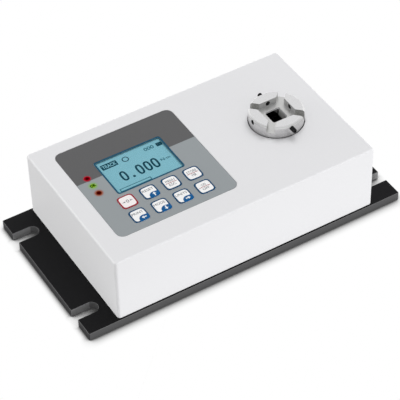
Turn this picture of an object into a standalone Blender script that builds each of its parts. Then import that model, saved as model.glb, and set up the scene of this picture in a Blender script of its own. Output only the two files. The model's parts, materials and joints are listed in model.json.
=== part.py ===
"""Bench torque tester: a white housing on a black slotted base plate.

The left half of the top carries the keypad panel with its display, and the right half the
cross-slotted adapter ring, which stands on the torque sensor inside the housing.

Metres, +X along the length with the keypad on the left, -Y the front, +Z up. The origin is
the centre of the base plate's underside.
"""

import math

import bmesh
import bpy
from mathutils import Vector

MM = 0.001

# Clearances
GAP = 0.3 * MM
CUT_PAST = 1.0 * MM
SMALLEST_RADIUS = 0.3 * MM
UNION_DEPTH = 1.0 * MM

# Base plate
PLATE_LENGTH = 306 * MM
PLATE_DEPTH = 154 * MM
PLATE_THICKNESS = 8 * MM
PLATE_CORNER_RADIUS = 0.8 * MM
PLATE_CHAMFER = 0.4 * MM
SLOT_WIDTH = 12 * MM
SLOT_DEPTH = 21.5 * MM
SLOT_SPACING = 104 * MM
BLIND_HOLE_DEPTH = 5 * MM

# Housing
HOUSING_LENGTH = 250 * MM
HOUSING_DEPTH = 151.5 * MM
HOUSING_HEIGHT = 63.7 * MM
HOUSING_WALL = 3 * MM
HOUSING_TOP_WALL = 3 * MM
HOUSING_SIDE_RADIUS = 2.6 * MM
HOUSING_TOP_RADIUS = 2.3 * MM
SCREW_POST_RADIUS = 5.5 * MM
PILOT_DEPTH = 14 * MM

# Keypad panel, placed from the housing's left and front faces
PANEL_LENGTH = 113 * MM
PANEL_DEPTH = 114 * MM
PANEL_CORNER_RADIUS = 6 * MM
PANEL_THICKNESS = 0.5 * MM
PANEL_LEFT_MARGIN = 18 * MM
PANEL_FRONT_MARGIN = 23.25 * MM

# Display window and liquid crystal module, placed from the panel's front left corner
WINDOW_CENTRE = (56 * MM, 66.5 * MM)
WINDOW_LENGTH = 64 * MM
WINDOW_DEPTH = 44 * MM
WINDOW_CORNER_RADIUS = 2 * MM
WINDOW_THICKNESS = 1 * MM
WINDOW_LEDGE = 1.3 * MM
LCD_THICKNESS = 4.7 * MM
LCD_FRAME_WALL = 2.8 * MM

# Keys
KEY_NAMES = (
    ("key_print", "key_mode", "key_units", "key_power"),
    ("key_zero", "key_reset", "key_menu", "key_store"),
)
KEY_FIRST_CENTRE = (26.2 * MM, 14.6 * MM)
KEY_COLUMN_PITCH = 20.7 * MM
KEY_ROW_PITCH = 18.9 * MM
KEY_LENGTH = 14.6 * MM
KEY_DEPTH = 15 * MM
KEY_EXPONENT = 5
KEY_PROUD = 0.5 * MM
KEY_EDGE = 0.4 * MM
KEY_FLANGE = 1.2 * MM
KEY_FLANGE_THICKNESS = 1 * MM
KEY_PLUNGER_RADIUS = 2.5 * MM
KEY_PRESS_GAP = 0.6 * MM

# Signal lamps
LAMP_NAMES = ("led_low", "led_ok", "led_high")
LAMP_FIRST_CENTRE = (11.3 * MM, 54.8 * MM)
LAMP_PITCH = 10 * MM
LAMP_RADIUS = 2.8 * MM
LAMP_FLANGE = 0.5 * MM
LAMP_FLANGE_THICKNESS = 1 * MM
LAMP_PROUD = 0.3 * MM
LAMP_EDGE = 0.5 * MM

# Display board, hung from the housing's top
BOARD_THICKNESS = 1.6 * MM
BOARD_CORNER_RADIUS = 2 * MM
BOARD_DROP = 5.3 * MM
DISPLAY_BOARD_MARGIN = 4 * MM
DISPLAY_POST_RADIUS = 3.5 * MM
DISPLAY_POST_INSET = 4.8 * MM
DISPLAY_PILOT_DEPTH = 4.3 * MM
SWITCH_SHEET_THICKNESS = 1 * MM
SWITCH_SHEET_MARGIN = 4 * MM
SWITCH_DOME_RADIUS = 4 * MM
SWITCH_DOME_HEIGHT = 1 * MM

# Screws
SMALL_SCREW_RADIUS = 1.5 * MM
SMALL_HEAD_RADIUS = 2.8 * MM
SMALL_HEAD_HEIGHT = 2 * MM
HOUSING_SCREW_RADIUS = 2 * MM
HOUSING_SCREW_LENGTH = 18 * MM
SENSOR_SCREW_RADIUS = 2.5 * MM
SENSOR_SCREW_LENGTH = 13 * MM
COUNTERSINK_WIDEN = 2 * MM
SCREW_SINK = 0.3 * MM

# Main board on its snap-in supports, placed from the housing's left and back faces
MAIN_BOARD_LENGTH = 100 * MM
MAIN_BOARD_DEPTH = 60 * MM
MAIN_BOARD_LEFT_MARGIN = 21 * MM
MAIN_BOARD_BACK_MARGIN = 5.5 * MM
SUPPORT_HEIGHT = 7.7 * MM
SUPPORT_RADIUS = 3 * MM
SUPPORT_INSET = 5 * MM
SUPPORT_STUD_LENGTH = 4.5 * MM
SUPPORT_HEAD_RADIUS = 2.4 * MM
SUPPORT_HEAD_HEIGHT = 1.6 * MM

# Pieces on the main board, placed from its front left corner
BUZZER_CENTRE = (84 * MM, 44 * MM)
BUZZER_RADIUS = 6 * MM
BUZZER_HEIGHT = 9.5 * MM
BUZZER_SOUND_HOLE = 1 * MM
HEADER_HEIGHT = 6 * MM
HEADER_DEPTH = 6 * MM
RIBBON_WIDTH = 20 * MM
RIBBON_THICKNESS = 0.8 * MM
RIBBON_FOOT = (64 * MM, 15 * MM)
RIBBON_LEAN = 10 * MM
SENSOR_CABLE_FOOT = (88 * MM, 20 * MM)
BATTERY_LEAD_FOOT = (44 * MM, 10 * MM)

# Ports in the back wall, placed from the main board's left edge
USB_CENTRE = 29 * MM
USB_LENGTH = 12 * MM
USB_HEIGHT = 11 * MM
USB_REACH = 16 * MM
USB_MOUTH = (8.5 * MM, 7.8 * MM)
USB_TONGUE = (5.6 * MM, 3.2 * MM)
USB_MOUTH_DEPTH = 8.5 * MM
JACK_CENTRE = 54 * MM
JACK_LENGTH = 9 * MM
JACK_HEIGHT = 11 * MM
JACK_REACH = 14 * MM
JACK_MOUTH_RADIUS = 3.2 * MM
JACK_PIN_RADIUS = 1 * MM
JACK_MOUTH_DEPTH = 9 * MM

# Battery pack under its strap, placed from the housing's left and front faces
CELL_DIAMETER = 14.5 * MM
CELL_COUNT = 6
CELL_LENGTH = 50.5 * MM
BATTERY_CENTRE = (65 * MM, 43.5 * MM)
STRAP_WIDTH = 12 * MM
STRAP_THICKNESS = 1.2 * MM
STRAP_FOOT = 11 * MM
LEAD_RADIUS = 1.5 * MM

# Torque sensor, placed from the housing's right face
AXIS_RIGHT_MARGIN = 49 * MM
SENSOR_BASE_RADIUS = 30 * MM
SENSOR_BASE_THICKNESS = 8 * MM
SENSOR_NECK_RADIUS = 13 * MM
SENSOR_BORE_RADIUS = 9.6 * MM
SENSOR_HEAD_RADIUS = 23 * MM
SENSOR_HEAD_THICKNESS = 6 * MM
SENSOR_FILLET = 2 * MM
SENSOR_SCREW_CIRCLE = 48 * MM
SLEEVE_HEIGHT = 26 * MM
SLEEVE_THICKNESS = 1 * MM
SLEEVE_LEVEL = 26 * MM
SENSOR_CABLE_RADIUS = 2 * MM
SENSOR_CABLE_LEVEL = 32 * MM
CABLE_END_GAP = 0.8 * MM

# Adapter ring on the sensor's head
RING_RADIUS = 24 * MM
RING_RISE = 11.2 * MM
RING_CHAMFER = 1.4 * MM
RING_HOLE_CLEARANCE = 0.6 * MM
POCKET_WIDTH = 26.6 * MM
POCKET_DEPTH = 6.2 * MM
CROSS_SLOT_WIDTH = 7 * MM
DRIVE_WIDTH = 13.2 * MM
DRIVE_CHAMFER = 0.8 * MM
ADAPTER_SCREW_RADIUS = 2 * MM
ADAPTER_SCREW_CIRCLE = 37 * MM
ADAPTER_SCREW_LENGTH = 12.5 * MM
ADAPTER_HEAD_RADIUS = 3.5 * MM
ADAPTER_HEAD_HEIGHT = 4 * MM

# Clamping screws of the adapter ring: name, turn about the axis, length, how far it stands out
CLAMP_SCREWS = (
    ("clamp_screw_right", 0, 8 * MM, -1.5 * MM),
    ("clamp_screw_back", 90, 12 * MM, 3 * MM),
    ("clamp_screw_left", 180, 8 * MM, -1.5 * MM),
    ("clamp_screw_front", 270, 14 * MM, 5 * MM),
)
CLAMP_SCREW_RADIUS = 2 * MM
CLAMP_SOCKET_RADIUS = 1.1 * MM
CLAMP_SOCKET_DEPTH = 1.8 * MM
CLAMP_END_CHAMFER = 0.4 * MM

# Facets of round shapes
FINE_STEPS = 64
ROUND_STEPS = 20
SMALL_STEPS = 10
KEY_STEPS = 24
RIBBON_STEPS = 12
CORNER_STEPS = 4
FILLET_STEPS = 3
SMOOTH_ANGLE = math.radians(35)

# Levels and places that follow from the sizes above
FLOOR_LEVEL = PLATE_THICKNESS + GAP
TOP_LEVEL = FLOOR_LEVEL + HOUSING_HEIGHT
CEILING_LEVEL = TOP_LEVEL - HOUSING_TOP_WALL
DISPLAY_BOARD_TOP = -HOUSING_TOP_WALL - BOARD_DROP
MAIN_BOARD_BOTTOM = FLOOR_LEVEL + SUPPORT_HEIGHT + GAP
MAIN_BOARD_TOP = MAIN_BOARD_BOTTOM + BOARD_THICKNESS
LEFT_FACE = -HOUSING_LENGTH / 2
FRONT_FACE = -HOUSING_DEPTH / 2
BACK_FACE = HOUSING_DEPTH / 2
AXIS_X = HOUSING_LENGTH / 2 - AXIS_RIGHT_MARGIN
MAIN_BOARD_CORNER = (LEFT_FACE + MAIN_BOARD_LEFT_MARGIN,
                     BACK_FACE - MAIN_BOARD_BACK_MARGIN - MAIN_BOARD_DEPTH)
SENSOR_TOP = CEILING_LEVEL - GAP
RING_BOTTOM = SENSOR_TOP + GAP
RING_TOP = TOP_LEVEL + RING_RISE
POCKET_FLOOR = RING_TOP - POCKET_DEPTH
CLAMP_LEVEL = RING_TOP - POCKET_DEPTH / 2


# Outlines

def arc(centre, radius, start, end, steps):
    """Points along an arc from start to end degrees, both ends included."""
    angles = [math.radians(start + (end - start) * i / steps) for i in range(steps + 1)]
    return [(centre[0] + radius * math.cos(a), centre[1] + radius * math.sin(a)) for a in angles]


def circle(radius, steps, centre=(0, 0)):
    """Points round a full circle."""
    return arc(centre, radius, 0, 360, steps)[:-1]


def rectangle(length, depth, centre=(0, 0)):
    """The four corners of a rectangle."""
    return [(centre[0] + sx * length / 2, centre[1] + sy * depth / 2)
            for sx, sy in ((1, 1), (-1, 1), (-1, -1), (1, -1))]


def rounded_rectangle(length, depth, radius, centre=(0, 0)):
    """A rectangle with an arc at each corner."""
    radius = max(radius, SMALLEST_RADIUS)
    points = []
    for quarter, (sx, sy) in enumerate(((1, 1), (-1, 1), (-1, -1), (1, -1))):
        corner = (centre[0] + sx * (length / 2 - radius), centre[1] + sy * (depth / 2 - radius))
        points += arc(corner, radius, 90 * quarter, 90 * quarter + 90, CORNER_STEPS)
    return points


def cushion_outline(length, depth, steps, centre=(0, 0)):
    """A square with bulging sides and soft corners: a superellipse, whose points crowd at the corners."""
    points = []
    for i in range(steps):
        a = 2 * math.pi * (i + 0.5) / steps
        x = math.copysign(abs(math.cos(a)) ** (2 / KEY_EXPONENT), math.cos(a))
        y = math.copysign(abs(math.sin(a)) ** (2 / KEY_EXPONENT), math.sin(a))
        points.append((centre[0] + x * length / 2, centre[1] + y * depth / 2))
    return points


def plate_outline(inset):
    """The base plate's outline drawn in by inset, with two open slots in each end."""
    right = PLATE_LENGTH / 2 - inset
    back = PLATE_DEPTH / 2 - inset
    half_slot = SLOT_WIDTH / 2 + inset
    slot_end = PLATE_LENGTH / 2 - SLOT_DEPTH + SLOT_WIDTH / 2
    radius = max(PLATE_CORNER_RADIUS - inset, SMALLEST_RADIUS)
    half = arc((right - radius, -back + radius), radius, 270, 360, CORNER_STEPS)
    for slot_y in (-SLOT_SPACING / 2, SLOT_SPACING / 2):
        half.append((right, slot_y - half_slot))
        half += arc((slot_end, slot_y), half_slot, 270, 90, ROUND_STEPS // 2)
        half.append((right, slot_y + half_slot))
    half += arc((right - radius, back - radius), radius, 0, 90, CORNER_STEPS)
    return half + [(-x, -y) for x, y in half]


def cross_outline():
    """The ring's pocket with its four diagonal slots, which run out past the rim."""
    half = POCKET_WIDTH / 2
    shoulder = half - CROSS_SLOT_WIDTH / math.sqrt(2)
    run = RING_RADIUS
    points = []
    for turn in range(4):
        for x, y in ((half, shoulder), (half + run, shoulder + run),
                     (shoulder + run, half + run), (shoulder, half)):
            for _ in range(turn):
                x, y = -y, x
            points.append((x, y))
    return points


def smooth_route(points, spacing):
    """Evenly read points on the smooth curve that passes through the route's own points."""
    ends = [points[0] * 2 - points[1]] + points + [points[-1] * 2 - points[-2]]
    route = []
    for a, b, c, d in zip(ends, ends[1:], ends[2:], ends[3:]):
        steps = max(2, round((c - b).length / spacing))
        for i in range(steps):
            t = i / steps
            route.append(0.5 * (2 * b + (c - a) * t + (2 * a - 5 * b + 4 * c - d) * t * t
                                + (3 * b - a - 3 * c + d) * t * t * t))
    return route + [points[-1]]


# Solids

def level(outline, z):
    """A flat outline raised to the height z."""
    return [(x, y, z) for x, y in outline]


def loft(bm, loops, ring=False):
    """One closed body through the loops in turn. A ring joins the last loop to the first."""
    rows = [[bm.verts.new(point) for point in loop] for loop in loops]
    pairs = list(zip(rows, rows[1:])) + ([(rows[-1], rows[0])] if ring else [])
    for low, high in pairs:
        for i in range(len(low)):
            k = (i + 1) % len(low)
            bm.faces.new((low[i], low[k], high[k], high[i]))
    if not ring:
        bm.faces.new(rows[0])
        bm.faces.new(rows[-1])


def prism(bm, outline, start, end, along="Z"):
    """An outline extruded along X, Y or Z, where the outline's two numbers are the other axes."""
    lift = {"X": lambda a, b: (start, a, b),
            "Y": lambda a, b: (a, start, b),
            "Z": lambda a, b: (a, b, start)}
    face = bm.faces.new([bm.verts.new(lift[along](a, b)) for a, b in outline])
    raised = bmesh.ops.extrude_face_region(bm, geom=[face])["geom"]
    shift = Vector([(end - start) if axis == along else 0 for axis in "XYZ"])
    bmesh.ops.translate(bm, vec=shift, verts=[g for g in raised if isinstance(g, bmesh.types.BMVert)])


def revolve(bm, profile, steps, centre=(0, 0)):
    """A profile of radius and height turned round a vertical axis, from axis to axis."""
    fresh = bmesh.new()
    points = [fresh.verts.new((radius, 0, z)) for radius, z in profile]
    edges = [fresh.edges.new(pair) for pair in zip(points, points[1:])]
    bmesh.ops.spin(fresh, geom=points + edges, cent=(0, 0, 0), axis=(0, 0, 1),
                   angle=2 * math.pi, steps=steps, use_merge=True)
    bmesh.ops.remove_doubles(fresh, verts=fresh.verts, dist=1e-6)
    bmesh.ops.translate(fresh, vec=(centre[0], centre[1], 0), verts=fresh.verts)
    mesh = bpy.data.meshes.new("turned")
    fresh.to_mesh(mesh)
    fresh.free()
    bm.from_mesh(mesh)
    bpy.data.meshes.remove(mesh)


def screw_profile(shank, top, tip, head, head_end):
    """A pan-headed screw's profile from its tip to the far side of its head."""
    return [(0, tip), (shank, tip), (shank, top), (head, top), (head, head_end), (0, head_end)]


def countersunk_profile(shank, length, bottom):
    """A flush screw's profile: a cone at the bottom that narrows to the shank."""
    head = shank + COUNTERSINK_WIDEN
    return [(0, bottom), (head, bottom), (shank, bottom + COUNTERSINK_WIDEN),
            (shank, bottom + length), (0, bottom + length)]


def countersunk_hole(bm, shank, centre):
    """The plate's clearance hole for a flush screw, from below the plate to above it."""
    hole = shank + GAP
    wide = hole + COUNTERSINK_WIDEN
    over = PLATE_THICKNESS + CUT_PAST
    revolve(bm, [(0, -CUT_PAST), (wide, -CUT_PAST), (wide, SCREW_SINK),
                 (hole, SCREW_SINK + COUNTERSINK_WIDEN), (hole, over), (0, over)], SMALL_STEPS, centre)


# Objects

def finish(name, colour, roughness, metallic=0.0, alpha=1.0):
    """A plain surface of one colour."""
    material = bpy.data.materials.new(name)
    material.use_nodes = True
    shader = material.node_tree.nodes["Principled BSDF"]
    shader.inputs["Base Color"].default_value = (*colour, 1.0)
    shader.inputs["Roughness"].default_value = roughness
    shader.inputs["Metallic"].default_value = metallic
    shader.inputs["Alpha"].default_value = alpha
    material.diffuse_color = (*colour, alpha)
    return material


def place(name, data, parent, location):
    """Links an object under its parent at a location in the parent's frame."""
    obj = bpy.data.objects.new(name, data)
    bpy.context.scene.collection.objects.link(obj)
    obj.parent = parent
    obj.location = location
    return obj


def solid(name, bm, surface, parent=None, location=(0, 0, 0)):
    """A named piece with smooth round faces and crisp edges."""
    bmesh.ops.recalc_face_normals(bm, faces=bm.faces)
    mesh = bpy.data.meshes.new(name)
    bm.to_mesh(mesh)
    bm.free()
    if surface:
        mesh.materials.append(surface)
    mesh.shade_smooth()
    mesh.set_sharp_from_angle(angle=SMOOTH_ANGLE)
    return place(name, mesh, parent, location)


def turned_set(name, profile, steps, surface, parent, places):
    """The same turned piece at each place, numbered from one."""
    for number, centre in enumerate(places, 1):
        bm = bmesh.new()
        revolve(bm, profile, steps)
        solid(f"{name}_{number}", bm, surface, parent, (*centre, 0))


def cutter(name, bm, parent=None, location=(0, 0, 0)):
    """A shape that only cuts or adds to others."""
    tool = solid(name, bm, None, parent, location)
    tool.hide_render = True
    tool.display_type = "WIRE"
    return tool


def combine(target, tool, operation="DIFFERENCE"):
    """Cuts the tool out of the target, or adds it."""
    modifier = target.modifiers.new(tool.name, "BOOLEAN")
    modifier.operation = operation
    modifier.solver = "EXACT"
    modifier.object = tool


def cable(name, route, radius, surface):
    """A round cable along a route of points in the part's own frame."""
    curve = bpy.data.curves.new(name, "CURVE")
    curve.dimensions = "3D"
    curve.bevel_depth = radius
    curve.bevel_resolution = 2
    curve.use_fill_caps = True
    points = smooth_route([Vector(p) for p in route], 5 * radius)
    spline = curve.splines.new("POLY")
    spline.points.add(len(points) - 1)
    for knot, point in zip(spline.points, points):
        knot.co = (*point, 1)
    curve.materials.append(surface)
    return place(name, curve, None, (0, 0, 0))


# Places that several pieces share

def housing_posts():
    """Centres of the posts that take the housing's screws."""
    x = HOUSING_LENGTH / 2 - HOUSING_WALL - SCREW_POST_RADIUS + UNION_DEPTH
    y = HOUSING_DEPTH / 2 - HOUSING_WALL - SCREW_POST_RADIUS + UNION_DEPTH
    return [(sx * x, sy * y) for sx in (-1, 1) for sy in (-1, 1)]


def circle_places(diameter, first):
    """Four places on a circle round the torque axis, from the angle first."""
    return [(diameter / 2 * math.cos(math.radians(first + 90 * i)),
             diameter / 2 * math.sin(math.radians(first + 90 * i))) for i in range(4)]


def corner_places(length, depth, inset, corner=(0, 0)):
    """Four places set in from the corners of a board whose front left corner is given."""
    return [(corner[0] + x, corner[1] + y)
            for x in (inset, length - inset) for y in (inset, depth - inset)]


def key_places():
    """Each key's name and centre on the panel."""
    first_x, first_y = KEY_FIRST_CENTRE
    return [(name, (first_x + column * KEY_COLUMN_PITCH, first_y + row * KEY_ROW_PITCH))
            for row, names in enumerate(KEY_NAMES) for column, name in enumerate(names)]


def lamp_places():
    """Each signal lamp's name and centre on the panel."""
    return [(name, (LAMP_FIRST_CENTRE[0], LAMP_FIRST_CENTRE[1] + i * LAMP_PITCH))
            for i, name in enumerate(LAMP_NAMES)]


def display_board_corner():
    """The display board's front left corner on the panel."""
    return (DISPLAY_BOARD_MARGIN, DISPLAY_BOARD_MARGIN)


def display_post_places():
    """The four screws that hold the display board."""
    return corner_places(PANEL_LENGTH - 2 * DISPLAY_BOARD_MARGIN, PANEL_DEPTH - 2 * DISPLAY_BOARD_MARGIN,
                         DISPLAY_POST_INSET, display_board_corner())


def on_main_board(place_on_board):
    """A place on the main board in the part's own frame."""
    return (MAIN_BOARD_CORNER[0] + place_on_board[0], MAIN_BOARD_CORNER[1] + place_on_board[1])


def support_places():
    """The main board's four supports."""
    return corner_places(MAIN_BOARD_LENGTH, MAIN_BOARD_DEPTH, SUPPORT_INSET, MAIN_BOARD_CORNER)


def battery_centre():
    """The battery pack's centre in plan."""
    return (LEFT_FACE + BATTERY_CENTRE[0], FRONT_FACE + BATTERY_CENTRE[1])


def strap_screw_places():
    """The two screws through the feet of the battery strap."""
    x, y = battery_centre()
    reach = CELL_DIAMETER * CELL_COUNT / 2 + GAP + STRAP_THICKNESS + STRAP_FOOT / 2
    return [(x - reach, y), (x + reach, y)]


# Base plate

def build_base_plate(black):
    """The slotted plate, with flush holes from below and blind holes from above."""
    bm = bmesh.new()
    loft(bm, [level(plate_outline(PLATE_CHAMFER), 0),
              level(plate_outline(0), PLATE_CHAMFER),
              level(plate_outline(0), PLATE_THICKNESS - PLATE_CHAMFER),
              level(plate_outline(PLATE_CHAMFER), PLATE_THICKNESS)])
    plate = solid("base_plate", bm, black)
    holes = bmesh.new()
    for centre in housing_posts():
        countersunk_hole(holes, HOUSING_SCREW_RADIUS, centre)
    for x, y in circle_places(SENSOR_SCREW_CIRCLE, 45):
        countersunk_hole(holes, SENSOR_SCREW_RADIUS, (AXIS_X + x, y))
    for centre in support_places() + strap_screw_places():
        prism(holes, circle(SMALL_SCREW_RADIUS + GAP, SMALL_STEPS, centre),
              PLATE_THICKNESS - BLIND_HOLE_DEPTH, PLATE_THICKNESS + CUT_PAST)
    combine(plate, cutter("base_plate_holes", holes))


# Housing

def housing_level(inset, z):
    """The housing's outline drawn in by inset, at the height z."""
    return level(rounded_rectangle(HOUSING_LENGTH - 2 * inset, HOUSING_DEPTH - 2 * inset,
                                   HOUSING_SIDE_RADIUS - inset), z)


def build_housing(white, panel, axis):
    """The cast cover: an open shell with screw posts, and every opening in its top and back."""
    edge = min(HOUSING_TOP_RADIUS, HOUSING_SIDE_RADIUS - SMALLEST_RADIUS)
    rounding = arc((edge, TOP_LEVEL - edge), edge, 180, 90, CORNER_STEPS)
    bm = bmesh.new()
    loft(bm, [housing_level(HOUSING_WALL, CEILING_LEVEL), housing_level(HOUSING_WALL, FLOOR_LEVEL),
              housing_level(0, FLOOR_LEVEL)] + [housing_level(inset, z) for inset, z in rounding])
    housing = solid("housing", bm, white)

    posts = bmesh.new()
    for centre in housing_posts():
        prism(posts, circle(SCREW_POST_RADIUS, ROUND_STEPS, centre),
              FLOOR_LEVEL, CEILING_LEVEL + UNION_DEPTH)
    combine(housing, cutter("housing_posts", posts), "UNION")
    pilots = bmesh.new()
    for centre in housing_posts():
        prism(pilots, circle(HOUSING_SCREW_RADIUS + GAP, SMALL_STEPS, centre),
              FLOOR_LEVEL - CUT_PAST, FLOOR_LEVEL + PILOT_DEPTH)
    combine(housing, cutter("housing_pilots", pilots))

    board_posts = bmesh.new()
    for centre in display_post_places():
        prism(board_posts, circle(DISPLAY_POST_RADIUS, ROUND_STEPS, centre),
              DISPLAY_BOARD_TOP + GAP, UNION_DEPTH / 2 - HOUSING_TOP_WALL)
    combine(housing, cutter("display_posts", board_posts, panel), "UNION")
    board_pilots = bmesh.new()
    for centre in display_post_places():
        prism(board_pilots, circle(SMALL_SCREW_RADIUS + GAP, SMALL_STEPS, centre),
              DISPLAY_BOARD_TOP, DISPLAY_BOARD_TOP + GAP + DISPLAY_PILOT_DEPTH)
    combine(housing, cutter("display_pilots", board_pilots, panel))

    recess = bmesh.new()
    centre = (PANEL_LENGTH / 2, PANEL_DEPTH / 2)
    prism(recess, rounded_rectangle(PANEL_LENGTH + 2 * GAP, PANEL_DEPTH + 2 * GAP,
                                    PANEL_CORNER_RADIUS + GAP, centre), -PANEL_THICKNESS - GAP, CUT_PAST)
    combine(housing, cutter("panel_recess", recess, panel))
    seat = bmesh.new()
    prism(seat, rounded_rectangle(WINDOW_LENGTH + 2 * GAP, WINDOW_DEPTH + 2 * GAP,
                                  WINDOW_CORNER_RADIUS + GAP, WINDOW_CENTRE),
          -WINDOW_THICKNESS - GAP, CUT_PAST)
    combine(housing, cutter("window_seat", seat, panel))
    combine(housing, cutter("panel_openings", panel_openings(WINDOW_LEDGE), panel))

    ring_hole = bmesh.new()
    prism(ring_hole, circle(RING_RADIUS + RING_HOLE_CLEARANCE, FINE_STEPS),
          CEILING_LEVEL - CUT_PAST, TOP_LEVEL + CUT_PAST)
    combine(housing, cutter("ring_hole", ring_hole, axis))
    ports = bmesh.new()
    for centre_x, length, height in ((USB_CENTRE, USB_LENGTH, USB_HEIGHT),
                                     (JACK_CENTRE, JACK_LENGTH, JACK_HEIGHT)):
        outline = rectangle(length + 2 * GAP, height + 2 * GAP,
                            (on_main_board((centre_x, 0))[0], MAIN_BOARD_TOP + GAP + height / 2))
        prism(ports, outline, BACK_FACE - HOUSING_WALL - CUT_PAST, BACK_FACE + CUT_PAST, "Y")
    combine(housing, cutter("port_openings", ports))


# Keypad panel

def panel_openings(window_inset):
    """Cutters for the window, the keys and the lamps, right through the panel or the wall."""
    bm = bmesh.new()
    low, high = -HOUSING_TOP_WALL - CUT_PAST, CUT_PAST
    spread = 2 * GAP - 2 * window_inset
    prism(bm, rounded_rectangle(WINDOW_LENGTH + spread, WINDOW_DEPTH + spread,
                                WINDOW_CORNER_RADIUS - window_inset, WINDOW_CENTRE), low, high)
    for _, centre in key_places():
        prism(bm, cushion_outline(KEY_LENGTH + 2 * GAP, KEY_DEPTH + 2 * GAP, KEY_STEPS, centre),
              low, high)
    for _, centre in lamp_places():
        prism(bm, circle(LAMP_RADIUS + GAP, ROUND_STEPS, centre), low, high)
    return bm


def build_panel_face(grey, clear, panel):
    """The printed sheet in its recess, and the clear pane in the sheet's window."""
    bm = bmesh.new()
    centre = (PANEL_LENGTH / 2, PANEL_DEPTH / 2)
    prism(bm, rounded_rectangle(PANEL_LENGTH, PANEL_DEPTH, PANEL_CORNER_RADIUS, centre), -PANEL_THICKNESS, 0)
    sheet = solid("keypad_overlay", bm, grey, panel)
    combine(sheet, cutter("overlay_openings", panel_openings(0), panel))
    pane = bmesh.new()
    prism(pane, rounded_rectangle(WINDOW_LENGTH, WINDOW_DEPTH, WINDOW_CORNER_RADIUS),
          -WINDOW_THICKNESS, 0)
    solid("display_window", pane, clear, panel, (*WINDOW_CENTRE, 0))


def build_display(screen, steel, panel):
    """The liquid crystal module, whose glass reaches up into the window, in its frame."""
    length = WINDOW_LENGTH - 2 * WINDOW_LEDGE
    depth = WINDOW_DEPTH - 2 * WINDOW_LEDGE
    top = -WINDOW_THICKNESS - GAP
    floor = top - LCD_THICKNESS - GAP
    glass = bmesh.new()
    prism(glass, rectangle(length, depth), top - LCD_THICKNESS, top)
    solid("lcd_glass", glass, screen, panel, (*WINDOW_CENTRE, 0))
    frame = bmesh.new()
    prism(frame, rectangle(length + 2 * LCD_FRAME_WALL, depth + 2 * LCD_FRAME_WALL),
          DISPLAY_BOARD_TOP + GAP, -HOUSING_TOP_WALL - GAP)
    tray = solid("lcd_frame", frame, steel, panel, (*WINDOW_CENTRE, 0))
    pocket = bmesh.new()
    prism(pocket, rectangle(length + 2 * GAP, depth + 2 * GAP), floor, -HOUSING_TOP_WALL + CUT_PAST)
    combine(tray, cutter("lcd_pocket", pocket, panel, (*WINDOW_CENTRE, 0)))


def build_key(name, centre, plastic, panel):
    """One key: a cushion-shaped cap, a flange that keeps it in, and a plunger over its switch."""
    def cap(inset, z):
        return level(cushion_outline(KEY_LENGTH - 2 * inset, KEY_DEPTH - 2 * inset, KEY_STEPS), z)

    def plunger(z):
        return [(KEY_PLUNGER_RADIUS * math.cos(a), KEY_PLUNGER_RADIUS * math.sin(a), z)
                for a in [2 * math.pi * (i + 0.5) / KEY_STEPS for i in range(KEY_STEPS)]]

    flange_top = -HOUSING_TOP_WALL - GAP
    flange_bottom = flange_top - KEY_FLANGE_THICKNESS
    tip = DISPLAY_BOARD_TOP + GAP + SWITCH_SHEET_THICKNESS + SWITCH_DOME_HEIGHT + KEY_PRESS_GAP
    bm = bmesh.new()
    loft(bm, [plunger(tip), plunger(flange_bottom),
              cap(-KEY_FLANGE, flange_bottom), cap(-KEY_FLANGE, flange_top),
              cap(0, flange_top), cap(0, KEY_PROUD - KEY_EDGE), cap(KEY_EDGE, KEY_PROUD)])
    solid(name, bm, plastic, panel, (*centre, 0))


def build_lamp(name, centre, lens, panel):
    """One signal lamp: a flanged foot on the board and a round lens that ends at the panel's face."""
    foot = DISPLAY_BOARD_TOP + GAP
    wide = LAMP_RADIUS + LAMP_FLANGE
    bm = bmesh.new()
    revolve(bm, [(0, foot), (wide, foot), (wide, foot + LAMP_FLANGE_THICKNESS),
                 (LAMP_RADIUS, foot + LAMP_FLANGE_THICKNESS), (LAMP_RADIUS, LAMP_PROUD - LAMP_EDGE),
                 (LAMP_RADIUS - LAMP_EDGE, LAMP_PROUD), (0, LAMP_PROUD)], ROUND_STEPS)
    solid(name, bm, lens, panel, (*centre, 0))


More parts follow.
